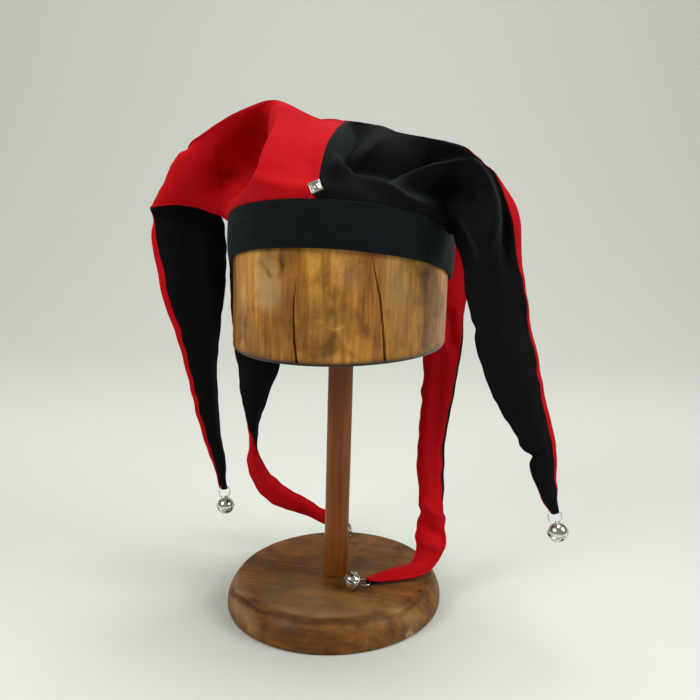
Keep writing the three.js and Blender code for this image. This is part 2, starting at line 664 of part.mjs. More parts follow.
// Hollow ball with crossed slits below and a wire loop above, its middle at the origin
function bellGeometry(wasm) {
  const radius = BELL_DIAMETER / 2;
  const ball = new THREE.SphereGeometry(radius, BELL_SIDES, BELL_RINGS);
  const inside = new THREE.SphereGeometry(radius - BELL_WALL, BELL_SIDES, BELL_RINGS);
  const loopRadius = (LOOP_DIAMETER - LOOP_WIRE) / 2;
  const loop = new THREE.TorusGeometry(loopRadius, LOOP_WIRE / 2, WIRE_SIDES, LOOP_SIDES);
  for (const round of [ball, inside]) round.rotateX(Math.PI / 2);
  loop.rotateY(Math.PI / 2);
  loop.translate(0, 0, loopHeight());
  let solid = toSolid(wasm, ball);
  solid = solid.add(toSolid(wasm, loop)).subtract(toSolid(wasm, inside));
  const slit = new THREE.BoxGeometry(SLIT_SPAN, BELL_SLIT, radius);
  slit.translate(0, 0, -SLIT_START - radius / 2);
  for (const turn of [0, Math.PI / 2]) {
    solid = solid.subtract(toSolid(wasm, slit.clone().rotateZ(turn)));
  }
  return fromSolid(solid);
}

// Height of the loop's middle over the bell's middle
function loopHeight() {
  return BELL_DIAMETER / 2 + LOOP_DIAMETER / 2 - LOOP_WIRE;
}

// Jump ring through the open tail end, with its bell hanging from it or lying on the base
function makeRingAndBell(tailName, tail, wasm) {
  const { middle, along, across, facing } = tailEnd(tail);
  const ringRadius = (RING_DIAMETER - RING_WIRE) / 2;
  const centre = middle.clone().addScaledVector(along, RING_DIAMETER / 2 - RING_BITE);
  const ring = new THREE.TorusGeometry(ringRadius, RING_WIRE / 2, WIRE_SIDES, RING_SIDES);
  const ringMesh = addMesh(`${tailName}_ring`, ring, "nickel");
  const ringBasis = new THREE.Matrix4().makeBasis(across, along, across.clone().cross(along));
  ringMesh.quaternion.setFromRotationMatrix(ringBasis);
  ringMesh.position.copy(centre);

  const play = (LOOP_DIAMETER - RING_WIRE) / 2 - LOOP_WIRE - SEAM_GAP / 2;
  const loopMiddle = centre.clone().addScaledVector(along, ringRadius + play);
  const restHeight = BASE_THICKNESS + SEAM_GAP + BELL_DIAMETER / 2;
  const lies = tail.drop === STAND_DROP;
  const away = lies ? UP.clone() : facing.clone().multiplyScalar(facing.y > 0 ? 1 : -1);
  away.addScaledVector(along, -away.dot(along)).addScaledVector(across, -away.dot(across)).normalize();
  const steepness = lies
    ? Math.atan2(away.z, along.z)
      - Math.acos((restHeight - loopMiddle.z) / loopHeight() / Math.hypot(away.z, along.z))
    : radians(HANGING_BELL_LEAN);
  const axis = along.clone().multiplyScalar(Math.cos(steepness));
  axis.addScaledVector(away, Math.sin(steepness));
  const bell = addMesh(`${tailName}_bell`, bellGeometry(wasm), "nickel");
  const toLoop = axis.clone().negate();
  const sideways = across.clone();
  const third = toLoop.clone().cross(sideways).normalize();
  bell.quaternion.setFromRotationMatrix(new THREE.Matrix4().makeBasis(sideways, third, toLoop));
  bell.position.copy(loopMiddle).addScaledVector(axis, loopHeight());
}

// Square stud with a raised rim round a low pyramid, on the front seam
function makeStud() {
  const half = STUD_SIZE / Math.SQRT2;
  const rim = STUD_HEIGHT - STUD_RECESS / 2;
  const profile = [
    [0, 0],
    [half, 0],
    [half, rim - STUD_RIM / 2],
    [half - STUD_RIM / 2, rim],
    [half - STUD_RIM, rim - STUD_RECESS],
    [0, STUD_HEIGHT],
  ];
  const geometry = new THREE.LatheGeometry(profile.map(([x, y]) => new THREE.Vector2(x, y)), 4);
  const solid = mergeVertices(geometry.deleteAttribute("normal").deleteAttribute("uv"), 1e-4);
  solid.computeVertexNormals();
  const stud = addMesh("stud", solid, "nickel");
  const seam = seamCurve("front");
  const share = STUD_ABOVE_BAND / seam.getLength();
  const foot = seam.getPointAt(share);
  const along = seam.getTangentAt(share);
  const radial = polar(1, VALLEYS.front.turn, 0);
  const outward = radial.addScaledVector(along, -radial.dot(along)).normalize();
  stud.quaternion.setFromUnitVectors(new THREE.Vector3(0, 1, 0), outward);
  stud.rotateY(radians(STUD_TURN));
  stud.position.copy(foot).addScaledVector(outward, CLOTH_WALL / 2 + 2 * SEAM_GAP);
}

function seamCurve(name) {
  const valley = VALLEYS[name];
  const low = edgePoint(valley.turn);
  const high = hatPoint([0, 0, 1], 1);
  const points = panelSection(low, high, new THREE.Vector3(), 0, valley.round, 0);
  return new THREE.CatmullRomCurve3(points);
}

const wasm = await Module();
wasm.setup();

makeBase();
makePost();
makeBlock();
makeBand();
makePanels();
makeStud();
for (const [tailName, tail] of Object.entries(TAILS)) {
  makeRingAndBell(tailName, tail, wasm);
}

export default group;
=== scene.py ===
"""Jester hat on a wooden hat stand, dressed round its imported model.

Lengths are millimetres in the named sizes and metres in the meshes. The frame is the
model's own: the stand's underside is at z = 0 and the hat's front seam looks along -Y.
"""

from __future__ import annotations

import logging
import math
from collections.abc import Iterator
from contextlib import contextmanager
from dataclasses import dataclass
from enum import Enum

import bmesh
import bpy
import numpy as np
from mathutils import Matrix, Vector, noise
from mathutils.bvhtree import BVHTree
from mathutils.kdtree import KDTree


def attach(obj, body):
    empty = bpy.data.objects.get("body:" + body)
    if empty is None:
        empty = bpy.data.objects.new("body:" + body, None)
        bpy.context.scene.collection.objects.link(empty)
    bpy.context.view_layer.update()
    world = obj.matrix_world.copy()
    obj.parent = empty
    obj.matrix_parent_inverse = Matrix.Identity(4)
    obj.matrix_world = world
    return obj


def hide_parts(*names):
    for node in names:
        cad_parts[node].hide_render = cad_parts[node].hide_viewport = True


MM = 0.001
WAVE_SEED = 12
LOG = logging.getLogger("jester_hat")

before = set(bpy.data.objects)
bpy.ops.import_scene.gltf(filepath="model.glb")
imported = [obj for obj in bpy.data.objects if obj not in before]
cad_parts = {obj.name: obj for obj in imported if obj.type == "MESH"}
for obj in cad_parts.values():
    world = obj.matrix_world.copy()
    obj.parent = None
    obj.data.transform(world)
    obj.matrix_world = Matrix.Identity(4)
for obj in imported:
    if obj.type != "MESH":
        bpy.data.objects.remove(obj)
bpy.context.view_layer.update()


class Slot(Enum):
    """The record's material slots."""

    RED = "red_cloth"
    BLACK = "black_cloth"
    BAND = "band_cloth"
    BLOCK = "block_wood"
    POST = "post_wood"
    BASE = "base_wood"
    METAL = "nickel"


def srgb(code: str) -> tuple[float, float, float, float]:
    """Turns an sRGB hex value to linear colour.

    Args:
        code: Six hex digits after a hash.

    Returns:
        Linear red, green and blue, with an alpha of 1.
    """
    parts = [int(code[i : i + 2], 16) / 255 for i in (1, 3, 5)]
    linear = [c / 12.92 if c <= 0.04045 else ((c + 0.055) / 1.055) ** 2.4 for c in parts]
    return (linear[0], linear[1], linear[2], 1.0)


def grey(value: float) -> tuple[float, float, float, float]:
    """Linear grey of one value."""
    return (value, value, value, 1.0)


def add_node(
    tree: bpy.types.NodeTree, kind: str, settings: dict, links: dict | None = None
) -> bpy.types.Node:
    """Adds one shader node.

    Args:
        tree: Node tree of a material.
        kind: Blender's name for the node type, without the ShaderNode that each starts with.
        settings: Property names (or input sockets, by name or number) and their values.
        links: Input sockets, by name or number, and the output sockets that feed them.

    Returns:
        The new node.
    """
    node = tree.nodes.new("ShaderNode" + kind)
    for key, value in settings.items():
        if isinstance(key, str) and hasattr(node, key):
            setattr(node, key, value)
        else:
            node.inputs[key].default_value = value
    for key, socket in (links or {}).items():
        tree.links.new(socket, node.inputs[key])
    return node


def ramp(tree: bpy.types.NodeTree, fac: bpy.types.NodeSocket, stops: list) -> bpy.types.NodeSocket:
    """Adds a colour ramp.

    Args:
        tree: Node tree of a material.
        fac: Output socket that drives the ramp.
        stops: Pairs of position and linear colour, in order.

    Returns:
        The ramp's colour output.
    """
    node = add_node(tree, "ValToRGB", {}, {"Fac": fac})
    elements = node.color_ramp.elements
    while len(elements) < len(stops):
        elements.new(0.5)
    for element, (position, colour) in zip(elements, stops):
        element.position = position
        element.color = colour
    return node.outputs["Color"]


def new_material(name: str) -> tuple[bpy.types.Material, bpy.types.NodeTree]:
    """Makes a material with an empty node tree.

    Args:
        name: Name of the finish.

    Returns:
        The material and its node tree.
    """
    material = bpy.data.materials.new(name)
    material.use_nodes = True
    material.node_tree.nodes.clear()
    return material, material.node_tree


def close_material(tree: bpy.types.NodeTree, settings: dict, links: dict) -> None:
    """Ends a material with its Principled shader and its output.

    Args:
        tree: Its node tree.
        settings: The shader's own sockets and their values.
        links: The sockets that patterns feed.
    """
    shader = add_node(tree, "BsdfPrincipled", settings, links)
    add_node(tree, "OutputMaterial", {}, {"Surface": shader.outputs["BSDF"]})


@dataclass(frozen=True)
class WovenCotton:
    """Plain-woven cotton: matt, with a soft bloom of light where it turns away.

    Attributes:
        name: Name of the finish.
        slot: The record's material slot; not used.
        colour: sRGB hex of the dyed cloth.
        faded: sRGB hex of the worn, faded cloth.
        bloom: sRGB hex of the light that its short fibres catch.
        sheen: Strength of the bloom.
        fade: Share of the fading.
        thread: Spacing of the threads in mm, drawn coarser than the real 0.4 mm to show.
        slub: Size of the uneven spots of the yarn in mm.
        rumple: Size of the small creases in mm.
        patch: Size of the faded places in mm.
    """

    name: str
    slot: Slot
    colour: str
    faded: str
    bloom: str
    sheen: float
    fade: float = 0.5
    thread: float = 2.5
    slub: float = 1.11
    rumple: float = 14.3
    patch: float = 45.5

    def make(self) -> bpy.types.Material:
        """Builds the material.

        Returns:
            The finished material.
        """
        material, tree = new_material(self.name)
        uv = add_node(tree, "UVMap", {"uv_map": "cloth"})
        place = add_node(tree, "TexCoord", {})
        on_cloth = {"Vector": uv.outputs["UV"]}
        on_piece = {"Vector": place.outputs["Object"]}
        # At a scale of 1 the wave texture repeats 20 / (2 pi) times in a metre.
        wave = {"Scale": 2 * math.pi / 20 / (self.thread * MM), "Distortion": 0.6, "Detail": 1.0}
        wave["Detail Scale"] = 2.0
        weft = add_node(tree, "TexWave", {"bands_direction": "X", **wave}, on_cloth)
        warp = add_node(tree, "TexWave", {"bands_direction": "Y", **wave}, on_cloth)
        over = {0: weft.outputs["Fac"], 1: warp.outputs["Fac"]}
        weave = add_node(tree, "Math", {"operation": "MAXIMUM"}, over)
        spots = {"Scale": 1 / (self.slub * MM), "Detail": 3.0, "Roughness": 0.6}
        slub = add_node(tree, "TexNoise", spots, on_piece)
        creases = {"Scale": 1 / (self.rumple * MM), "Detail": 4.0, "Roughness": 0.5}
        rumple = add_node(tree, "TexNoise", creases, on_piece)
        patches = {"Scale": 1 / (self.patch * MM), "Detail": 4.0, "Roughness": 0.62}
        wear = add_node(tree, "TexNoise", patches, on_piece)
        amount = ramp(tree, wear.outputs["Fac"], [(0.42, grey(0.0)), (0.7, grey(self.fade))])
        tones = {"data_type": "RGBA", 6: srgb(self.colour), 7: srgb(self.faded)}
        dyed = add_node(tree, "Mix", tones, {0: amount})
        gain = {"operation": "MULTIPLY_ADD", 1: 0.16, 2: 0.9}
        fine = add_node(tree, "Math", gain, {0: slub.outputs["Fac"]})
        blend = {"data_type": "RGBA", "blend_type": "MULTIPLY", 0: 1.0}
        toned = add_node(tree, "Mix", blend, {6: dyed.outputs[2], 7: fine.outputs[0]})
        # Each relief has its height, its strength and its depth in mm.
        bumps = ((rumple.outputs[0], 0.4, 1.6), (weave.outputs[0], 0.14, 0.25), (slub.outputs[0], 0.25, 0.2))
        links = {}
        for height, strength, depth in bumps:
            links["Height"] = height
            bump = add_node(tree, "Bump", {"Strength": strength, "Distance": depth * MM}, links)
            links = {"Normal": bump.outputs["Normal"]}
        settings = {"Roughness": 0.86, "Specular IOR Level": 0.14, "Sheen Weight": self.sheen}
        settings |= {"Sheen Roughness": 0.42, "Sheen Tint": srgb(self.bloom)}
        close_material(tree, settings, {"Base Color": toned.outputs[2], **links})
        return material


@dataclass(frozen=True)
class OiledWood:
    """Old wood with a thin oil finish: streaks along the grain, blotches, worn places, and painted highlights
    and painted shade.

    Attributes:
        name: Name of the finish.
        slot: The record's material slot; not used.
        pale: sRGB hex of the palest grain.
        middle: sRGB hex of the main tone.
        dark: sRGB hex of the darkest grain.
        stain: sRGB hex of the blotches.
        grain_width: Width of a streak across the grain in mm.
        grain_length: Length of a streak along the grain in mm.
        along: Axis that the grain runs along, 0 to 2.
        blotch: Size of the blotches in mm.
        blotch_share: Strength of the blotches.
        rough: Roughness of the oiled surface.
        relief: Depth of the grain in mm.
        bleach_and_highlight: sRGB hex of the rubbed, pale places and of the painted highlights.
        grime_and_shade: sRGB hex of the dark places: stains, and also painted shade and shadows.
    """

    name: str
    slot: Slot
    pale: str
    middle: str
    dark: str
    stain: str
    grain_width: float
    grain_length: float
    along: int
    blotch: float
    blotch_share: float
    rough: float
    relief: float
    bleach_and_highlight: str = "#D2B27C"
    grime_and_shade: str = "#24140A"

    def make(self) -> bpy.types.Material:
        """Builds the material.

        Returns:
            The finished material.
        """
        material, tree = new_material(self.name)
        place = add_node(tree, "TexCoord", {})
        on_piece = {"Vector": place.outputs["Object"]}
        squeeze = [1.0, 1.0, 1.0]
        squeeze[self.along] = self.grain_width / self.grain_length
        stretched = add_node(tree, "Mapping", {"Scale": squeeze}, on_piece)
        on_grain = {"Vector": stretched.outputs["Vector"]}
        width = self.grain_width * MM
        fine = {"Scale": 1 / (2 * width), "Detail": 5.0, "Roughness": 0.62, "Distortion": 0.5}
        streak = add_node(tree, "TexNoise", fine, on_grain)
        wide = {"Scale": 1 / (14 * width), "Detail": 3.0, "Roughness": 0.5, "Distortion": 1.2}
        broad = add_node(tree, "TexNoise", wide, on_grain)
        patches = {"Scale": 1 / (self.blotch * MM), "Detail": 4.0, "Roughness": 0.6, "Distortion": 0.4}
        cloud = add_node(tree, "TexNoise", patches, on_piece)
        half = add_node(tree, "Math", {"operation": "MULTIPLY", 1: 0.55}, {0: broad.outputs["Fac"]})
        both = {0: streak.outputs["Fac"], 2: half.outputs[0]}
        mixed = add_node(tree, "Math", {"operation": "MULTIPLY_ADD", 1: 0.45}, both)
        tones = [(0.38, srgb(self.dark)), (0.5, srgb(self.middle)), (0.62, srgb(self.pale))]
        grain = ramp(tree, mixed.outputs[0], tones)
        amount = ramp(tree, cloud.outputs["Fac"], [(0.45, grey(0.0)), (0.68, grey(self.blotch_share))])
        colour = add_node(tree, "Mix", {"data_type": "RGBA", 7: srgb(self.stain)}, {0: amount, 6: grain})
        # The tone attribute carries stains, pale places and knot lines, and also painted highlights and
        # painted shade.
        tone = add_node(tree, "Attribute", {"attribute_name": "tone"})
        for share, tint in ((0.8, self.bleach_and_highlight), (-0.8, self.grime_and_shade)):
            times = {"operation": "MULTIPLY", "use_clamp": True, 1: share}
            part = add_node(tree, "Math", times, {0: tone.outputs["Fac"]})
            layers = {0: part.outputs[0], 6: colour.outputs[2]}
            colour = add_node(tree, "Mix", {"data_type": "RGBA", 7: srgb(tint)}, layers)
        rough = {"operation": "MULTIPLY_ADD", 1: 0.22, 2: self.rough - 0.11}
        gloss = add_node(tree, "Math", rough, {0: cloud.outputs["Fac"]})
        relief = {"Strength": 0.5, "Distance": self.relief * MM}
        bump = add_node(tree, "Bump", relief, {"Height": streak.outputs["Fac"]})
        links = {"Base Color": colour.outputs[2], "Roughness": gloss.outputs[0], "Normal": bump.outputs[0]}
        close_material(tree, {"Specular IOR Level": 0.28, "Coat Weight": 0.08, "Coat Roughness": 0.25}, links)
        return material


@dataclass(frozen=True)
class NickelPlate:
    """Bright nickel plate on pressed steel: mirror-like, with fine rub marks and a little tarnish.

    Attributes:
        name: Name of the finish.
        slot: The record's material slot; not used.
        bright: sRGB hex of the clean plate.
        dull: sRGB hex of the tarnished plate.
        rough: Roughness of the clean plate.
        spot: Size of the tarnished spots in mm.
        rub: Width of the rub marks in mm, drawn coarser than the real 0.1 mm to show.
    """

    name: str = "bright_nickel_plate"
    slot: Slot = Slot.METAL
    bright: str = "#E2E0DB"
    dull: str = "#A9A59C"
    rough: float = 0.16
    spot: float = 3.85
    rub: float = 0.455

    def make(self) -> bpy.types.Material:
        """Builds the material.

        Returns:
            The finished material.
        """
        material, tree = new_material(self.name)
        place = add_node(tree, "TexCoord", {})
        on_piece = {"Vector": place.outputs["Object"]}
        spots = {"Scale": 1 / (self.spot * MM), "Detail": 4.0, "Roughness": 0.6}
        tarnish = add_node(tree, "TexNoise", spots, on_piece)
        amount = ramp(tree, tarnish.outputs["Fac"], [(0.45, grey(0.0)), (0.75, grey(0.8))])
        tones = {"data_type": "RGBA", 6: srgb(self.bright), 7: srgb(self.dull)}
        colour = add_node(tree, "Mix", tones, {0: amount})
        dulling = {"operation": "MULTIPLY_ADD", 1: 0.16, 2: self.rough - 0.06}
        rough = add_node(tree, "Math", dulling, {0: tarnish.outputs["Fac"]})
        rub = add_node(tree, "TexNoise", {"Scale": 1 / (self.rub * MM), "Detail": 2.0}, on_piece)
        bump = add_node(tree, "Bump", {"Strength": 0.08, "Distance": 0.1 * MM}, {"Height": rub.outputs[0]})
        links = {"Base Color": colour.outputs[2], "Roughness": rough.outputs[0], "Normal": bump.outputs[0]}
        close_material(tree, {"Metallic": 1.0}, links)
        return material


# Dyed cotton soaks up the light: the red stays strong in the shade, and the blacks differ only by
# the pale bloom of their fibres, with the stiffened band a little bluer.
RED_COTTON = WovenCotton("red_woven_cotton", Slot.RED, "#B8020D", "#C40A16", "#FF5864", 0.12)
BLACK_COTTON = WovenCotton("black_woven_cotton", Slot.BLACK, "#020303", "#040506", "#A0BCBC", 0.1)
BAND_COTTON = WovenCotton("blue_black_woven_cotton", Slot.BAND, "#0A1013", "#0E1519", "#90A8B0", 0.1)
# Limewood rubbed by hands and hats: honey-coloured, with soft gloss over dark streaks and dirt, and with
# painted highlights where the soft boxes reflect.
BLOCK_WOOD = OiledWood(
    "worn_limewood", Slot.BLOCK, "#D89A40", "#B07428", "#7C4C16", "#6A3F12",
    grain_width=2.0, grain_length=24, along=2, blotch=22, blotch_share=0.85, rough=0.3, relief=0.7,
)
# Turned and stained beech: even, red-brown and close-grained.
POST_WOOD = OiledWood(
    "stained_beech", Slot.POST, "#96520C", "#824309", "#612F05", "#6C3606",
    grain_width=1.6, grain_length=60, along=2, blotch=50, blotch_share=0.5, rough=0.45, relief=0.15,
)
# Stained pine board: dull, mottled brown where the stain soaked in unevenly.
BASE_WOOD = OiledWood(
    "stained_pine", Slot.BASE, "#8F5A16", "#77470D", "#583107", "#4E2A06",
    grain_width=2.2, grain_length=20, along=0, blotch=22, blotch_share=0.85, rough=0.62, relief=0.35,
)
# Plated steel mirrors the room and shows its dents and slits as dark lines.
NICKEL = NickelPlate()


def deselect_all() -> None:
    """Leaves object mode with nothing selected."""
    if bpy.context.object and bpy.context.object.mode != "OBJECT":
        bpy.ops.object.mode_set(mode="OBJECT")
    bpy.ops.object.select_all(action="DESELECT")


def pick(piece: bpy.types.Object) -> None:
    """Makes one object the only selected and active one.

    Args:
        piece: The object.
    """
    deselect_all()
    piece.select_set(True)
    bpy.context.view_layer.objects.active = piece


@contextmanager
def editing(select: str = "SELECT") -> Iterator[None]:
    """Holds the active object in edit mode.

    Args:
        select: SELECT or DESELECT, for all of its mesh.

    Yields:
        Once, with the object in edit mode.
    """
    bpy.ops.object.mode_set(mode="EDIT")
    bpy.ops.mesh.select_all(action=select)
    yield
    bpy.ops.object.mode_set(mode="OBJECT")


def add_object(name: str, data: bpy.types.ID) -> bpy.types.Object:
    """Adds an object to the scene.

    Args:
        name: Its name.
        data: Its mesh, light or camera.

    Returns:
        The object.
    """
    thing = bpy.data.objects.new(name, data)
    bpy.context.scene.collection.objects.link(thing)
    return thing


def apply_modifier(piece: bpy.types.Object, kind: str, **settings: object) -> None:
    """Adds a modifier and applies it.

    Args:
        piece: Object that gets it.
        kind: Blender's name for the modifier type.
        **settings: The modifier's settings.
    """
    pick(piece)
    modifier = piece.modifiers.new(kind.lower(), kind)
    for key, value in settings.items():
        setattr(modifier, key, value)
    bpy.ops.object.modifier_apply(modifier=modifier.name)


def cut(piece: bpy.types.Object, tool: bpy.types.Object) -> None:
    """Cuts a tool's shape out of a piece and takes the tool away.

    Args:
        piece: The piece.
        tool: The closed shape to cut out.
    """
    apply_modifier(piece, "BOOLEAN", operation="DIFFERENCE", object=tool, solver="EXACT")
    bpy.data.objects.remove(tool)


def node_copy(node: str, name: str) -> bpy.types.Object:
    """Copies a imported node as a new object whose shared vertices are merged.

    Args:
        node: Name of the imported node.
        name: Name of the new piece.

    Returns:
        The copy.
    """
    piece = add_object(name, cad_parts[node].data.copy())
    piece.data.materials.clear()
    pick(piece)
    with editing():
        bpy.ops.mesh.remove_doubles(threshold=0.01 * MM)
        bpy.ops.mesh.customdata_custom_splitnormals_clear()
    return piece


def get_points(piece: bpy.types.Object) -> np.ndarray:
    """Vertices of a piece.

    Args:
        piece: The piece.

    Returns:
        A row of x, y and z in metres for each vertex, in mesh order.
    """
    flat = np.empty(len(piece.data.vertices) * 3)
    piece.data.vertices.foreach_get("co", flat)
    return flat.reshape(-1, 3)


def node_points(node: str) -> np.ndarray:
    """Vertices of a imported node, each place once."""
    return np.unique(np.round(get_points(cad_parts[node]), 7), axis=0)


def set_points(piece: bpy.types.Object, points: np.ndarray) -> None:
    """Moves a piece's vertices to new places, given in mesh order."""
    piece.data.vertices.foreach_set("co", points.ravel())
    piece.data.update()


def get_normals(piece: bpy.types.Object) -> np.ndarray:
    """Vertex normals of a piece.

    Args:
        piece: The piece.

    Returns:
        A row for each vertex, in mesh order.
    """
    flat = np.empty(len(piece.data.vertices) * 3)
    piece.data.vertex_normals.foreach_get("vector", flat)
    return flat.reshape(-1, 3)


def outward(points: np.ndarray) -> np.ndarray:
    """Level directions from the stand's axis to places."""
    level = points * np.array([1, 1, 0])
    return level / np.maximum(np.linalg.norm(level, axis=1), 1e-9)[:, None]


def waves(points: np.ndarray, length: float, height: float) -> np.ndarray:
    """Smooth waves through space, the same for every piece, so that seams stay closed.

    Args:
        points: A row for each place, in metres.
        length: Rough length of a wave in mm.
        height: Their height in mm.

    Returns:
        A move in mm for each place.
    """
    noise.seed_set(WAVE_SEED)
    scaled = points / MM / length
    moves = [noise.noise_vector(Vector(row), noise_basis="PERLIN_ORIGINAL") for row in scaled]
    return np.array(moves) * height


def finish_piece(
    piece: bpy.types.Object, finish: WovenCotton | OiledWood | NickelPlate, node: str, angle: float
) -> None:
    """Gives a piece its material and its place on the part.

    Args:
        piece: The piece.
        finish: Its finish, whose material is made the first time it is used.
        node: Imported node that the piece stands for.
        angle: Faces that meet at less than this many degrees are shaded smooth.
    """
    piece.data.materials.clear()
    piece.data.materials.append(bpy.data.materials.get(finish.name) or finish.make())
    pick(piece)
    bpy.ops.object.shade_smooth_by_angle(angle=math.radians(angle))
    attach(piece, "root")
    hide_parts(node)
    LOG.info("%s: %d faces", piece.name, len(piece.data.polygons))


@dataclass(frozen=True)
class StudioCamera:
    """Camera at the photograph's place, and how it turns places to pixels.

    Attributes:
        azimuth: Degrees round the stand from the front.
        distance: From the stand's axis in mm.
        height: Over the floor in mm.
        pitch: Degrees below level.
        roll: Degrees that the scene leans clockwise.
        yaw: Degrees that the camera looks past the axis.
        focal: Focal length in pixels of the photograph.
        pixels: Width of the photograph.
        sensor: Width of the camera's sensor in mm.
    """

    azimuth: float = 10.0
    distance: float = 729.0
    height: float = 366.0
    pitch: float = 11.3
    roll: float = 1.56
    yaw: float = -0.57
    focal: float = 900.0
    pixels: float = 700.0
    sensor: float = 36.0

    def axes(self) -> tuple[Vector, Vector, Vector]:
        """Directions of the picture.

        Returns:
            Directions to the right, up and into the picture.
        """
        turn = math.radians(self.azimuth + self.yaw)
        level = Vector((-math.sin(turn), math.cos(turn), 0))
        side = Vector((level.y, -level.x, 0))
        pitch = math.radians(self.pitch)
        ahead = level * math.cos(pitch) - Vector((0, 0, math.sin(pitch)))
        up = side.cross(ahead)
        roll = math.radians(self.roll)
        right = side * math.cos(roll) + up * math.sin(roll)
        return right, up * math.cos(roll) - side * math.sin(roll), ahead

    def place(self) -> Vector:
        """Place of the camera.

        Returns:
            The place in metres.
        """
        turn = math.radians(self.azimuth)
        out = self.distance * MM
        return Vector((out * math.sin(turn), -out * math.cos(turn), self.height * MM))

    def ray(self, across: float, down: float) -> Vector:
        """Direction in which the camera sees a pixel of the photograph.

        Args:
            across: The pixel's distance from the left edge.
            down: Its distance from the top edge.

        Returns:
            The direction.
        """
        right, up, ahead = self.axes()
        middle = self.pixels / 2
        return (ahead * self.focal + right * (across - middle) - up * (down - middle)).normalized()

    def scale(self, points: np.ndarray) -> np.ndarray:
        """Millimetres that a pixel spans at each place."""
        return (points - np.array(self.place())) @ np.array(self.axes()[2]) / self.focal / MM

    def picture(self, points: np.ndarray) -> np.ndarray:
        """Pixels of the photograph at which places show.

        Args:
            points: A row of x, y and z in metres for each place.

        Returns:
            A row of x and y in pixels for each place.
        """
        right, up, ahead = (np.array(axis) for axis in self.axes())
        ray = points - np.array(self.place())
        depth = ray @ ahead
        middle = self.pixels / 2
        across = middle + self.focal * (ray @ right) / depth
        down = middle - self.focal * (ray @ up) / depth
        return np.column_stack([across, down])

    def make(self) -> None:
        """Adds the camera to the scene and makes it the one that renders."""
        data = bpy.data.cameras.new("studio_camera")
        data.sensor_width = self.sensor
        data.lens = self.focal / self.pixels * self.sensor
        data.clip_end = 20
        camera = add_object("studio_camera", data)
        right, up, ahead = self.axes()
        turned = Matrix((right, up, -ahead)).transposed().to_4x4()
        camera.matrix_world = Matrix.Translation(self.place()) @ turned
        bpy.context.scene.camera = camera


CAMERA = StudioCamera()


@dataclass(frozen=True)
class SoftBox:
    """A square soft light, placed as the camera sees the stand.

    Attributes:
        name: Its name.
        place: Where it stands in metres: right, back and up.
        size: Its side in metres.
        power: In watts.
        colour: Linear colour of its light.
        target: Where it points, in metres.
    """

    name: str
    place: tuple
    size: float
    power: float
    colour: tuple = (1.0, 1.0, 1.0)
    target: tuple = (0, 0, 0.26)

    def make(self) -> None:
        """Adds the light to the scene."""
        data = bpy.data.lights.new(self.name, "AREA")
        data.shape = "SQUARE"
        data.size = self.size
        data.energy = self.power
        data.color = self.colour
        light = add_object(self.name, data)
        turn = Matrix.Rotation(math.radians(CAMERA.azimuth), 3, "Z")
        light.location = turn @ Vector(self.place)
        way = turn @ Vector(self.target) - light.location
        light.rotation_euler = way.to_track_quat("-Z", "Y").to_euler()


SOFT_BOXES = (
    SoftBox("key", (-1.15, -0.85, 1.15), 0.7, 13.5, (1.0, 0.99, 0.97)),
    SoftBox("fill", (1.3, -0.45, 1.05), 0.7, 12.0, (0.97, 0.99, 1.0)),
    SoftBox("top", (0.1, 0.1, 1.75), 0.9, 15.5),
    SoftBox("backdrop", (0.0, 0.75, 1.9), 1.2, 5.0, target=(0, 2.4, 1.0)),
)


@dataclass
class Studio:
    """Pale paper room with a coved back, soft lights and camera.

    Attributes:
        width: Width of the room in metres.
        back: How far it goes back behind the stand, in metres.
        front: How far it comes forward in metres.
        height: How high it rises in metres.
        bend: Radius of the cove in metres.
        paper: sRGB hex of the paper.
        room: Linear colour of the room's own light.
        glow: Strength of the room's own light.
    """

    width: float = 9.0
    back: float = 1.9
    front: float = 3.0
    height: float = 3.2
    bend: float = 0.9
    paper: str = "#E1E3DD"
    room: tuple = (0.86, 0.88, 0.86, 1.0)
    glow: float = 0.16

    def build(self) -> None:
        """Builds the floor, the lights, the room's light and the camera."""
        CAMERA.make()
        bpy.context.scene.view_settings.view_transform = "Standard"
        self.floor()
        for box in SOFT_BOXES:
            box.make()
        world = bpy.data.worlds.new("soft_room")
        world.use_nodes = True
        shade = world.node_tree.nodes["Background"]
        shade.inputs["Color"].default_value = self.room
        shade.inputs["Strength"].default_value = self.glow
        bpy.context.scene.world = world

    def floor(self) -> None:
        """Builds the floor with its walls and ceiling: a box whose floor curves up at the back."""
        deselect_all()
        bpy.ops.mesh.primitive_cube_add(size=1)
        floor = bpy.context.object
        floor.name = "pale_sweep"
        floor.data.transform(Matrix.Diagonal((self.width, self.back + self.front, self.height, 1)))
        floor.data.transform(Matrix.Translation((0, (self.back - self.front) / 2, self.height / 2)))
        with editing("DESELECT"):
            mesh = bmesh.from_edit_mesh(floor.data)
            for edge in mesh.edges:
                if all(v.co.y > self.back - 0.01 and v.co.z < 0.01 for v in edge.verts):
                    edge.select_set(True)
            bmesh.update_edit_mesh(floor.data)
            bpy.ops.mesh.bevel(offset=self.bend, segments=24, affect="EDGES", profile=0.5)
        floor.data.transform(Matrix.Rotation(math.radians(CAMERA.azimuth), 4, "Z"))
        pick(floor)
        bpy.ops.object.shade_smooth()
        material, tree = new_material("pale_paper_sweep")
        paper = {"Base Color": srgb(self.paper), "Roughness": 0.9, "Specular IOR Level": 0.1}
        close_material(tree, paper, {})
        floor.data.materials.append(material)
        LOG.info("sweep: %.1f m wide", self.width)


class Profile(Enum):
    """Cross-section of a fold."""

    SOFT = "soft"
    CREASE = "crease"


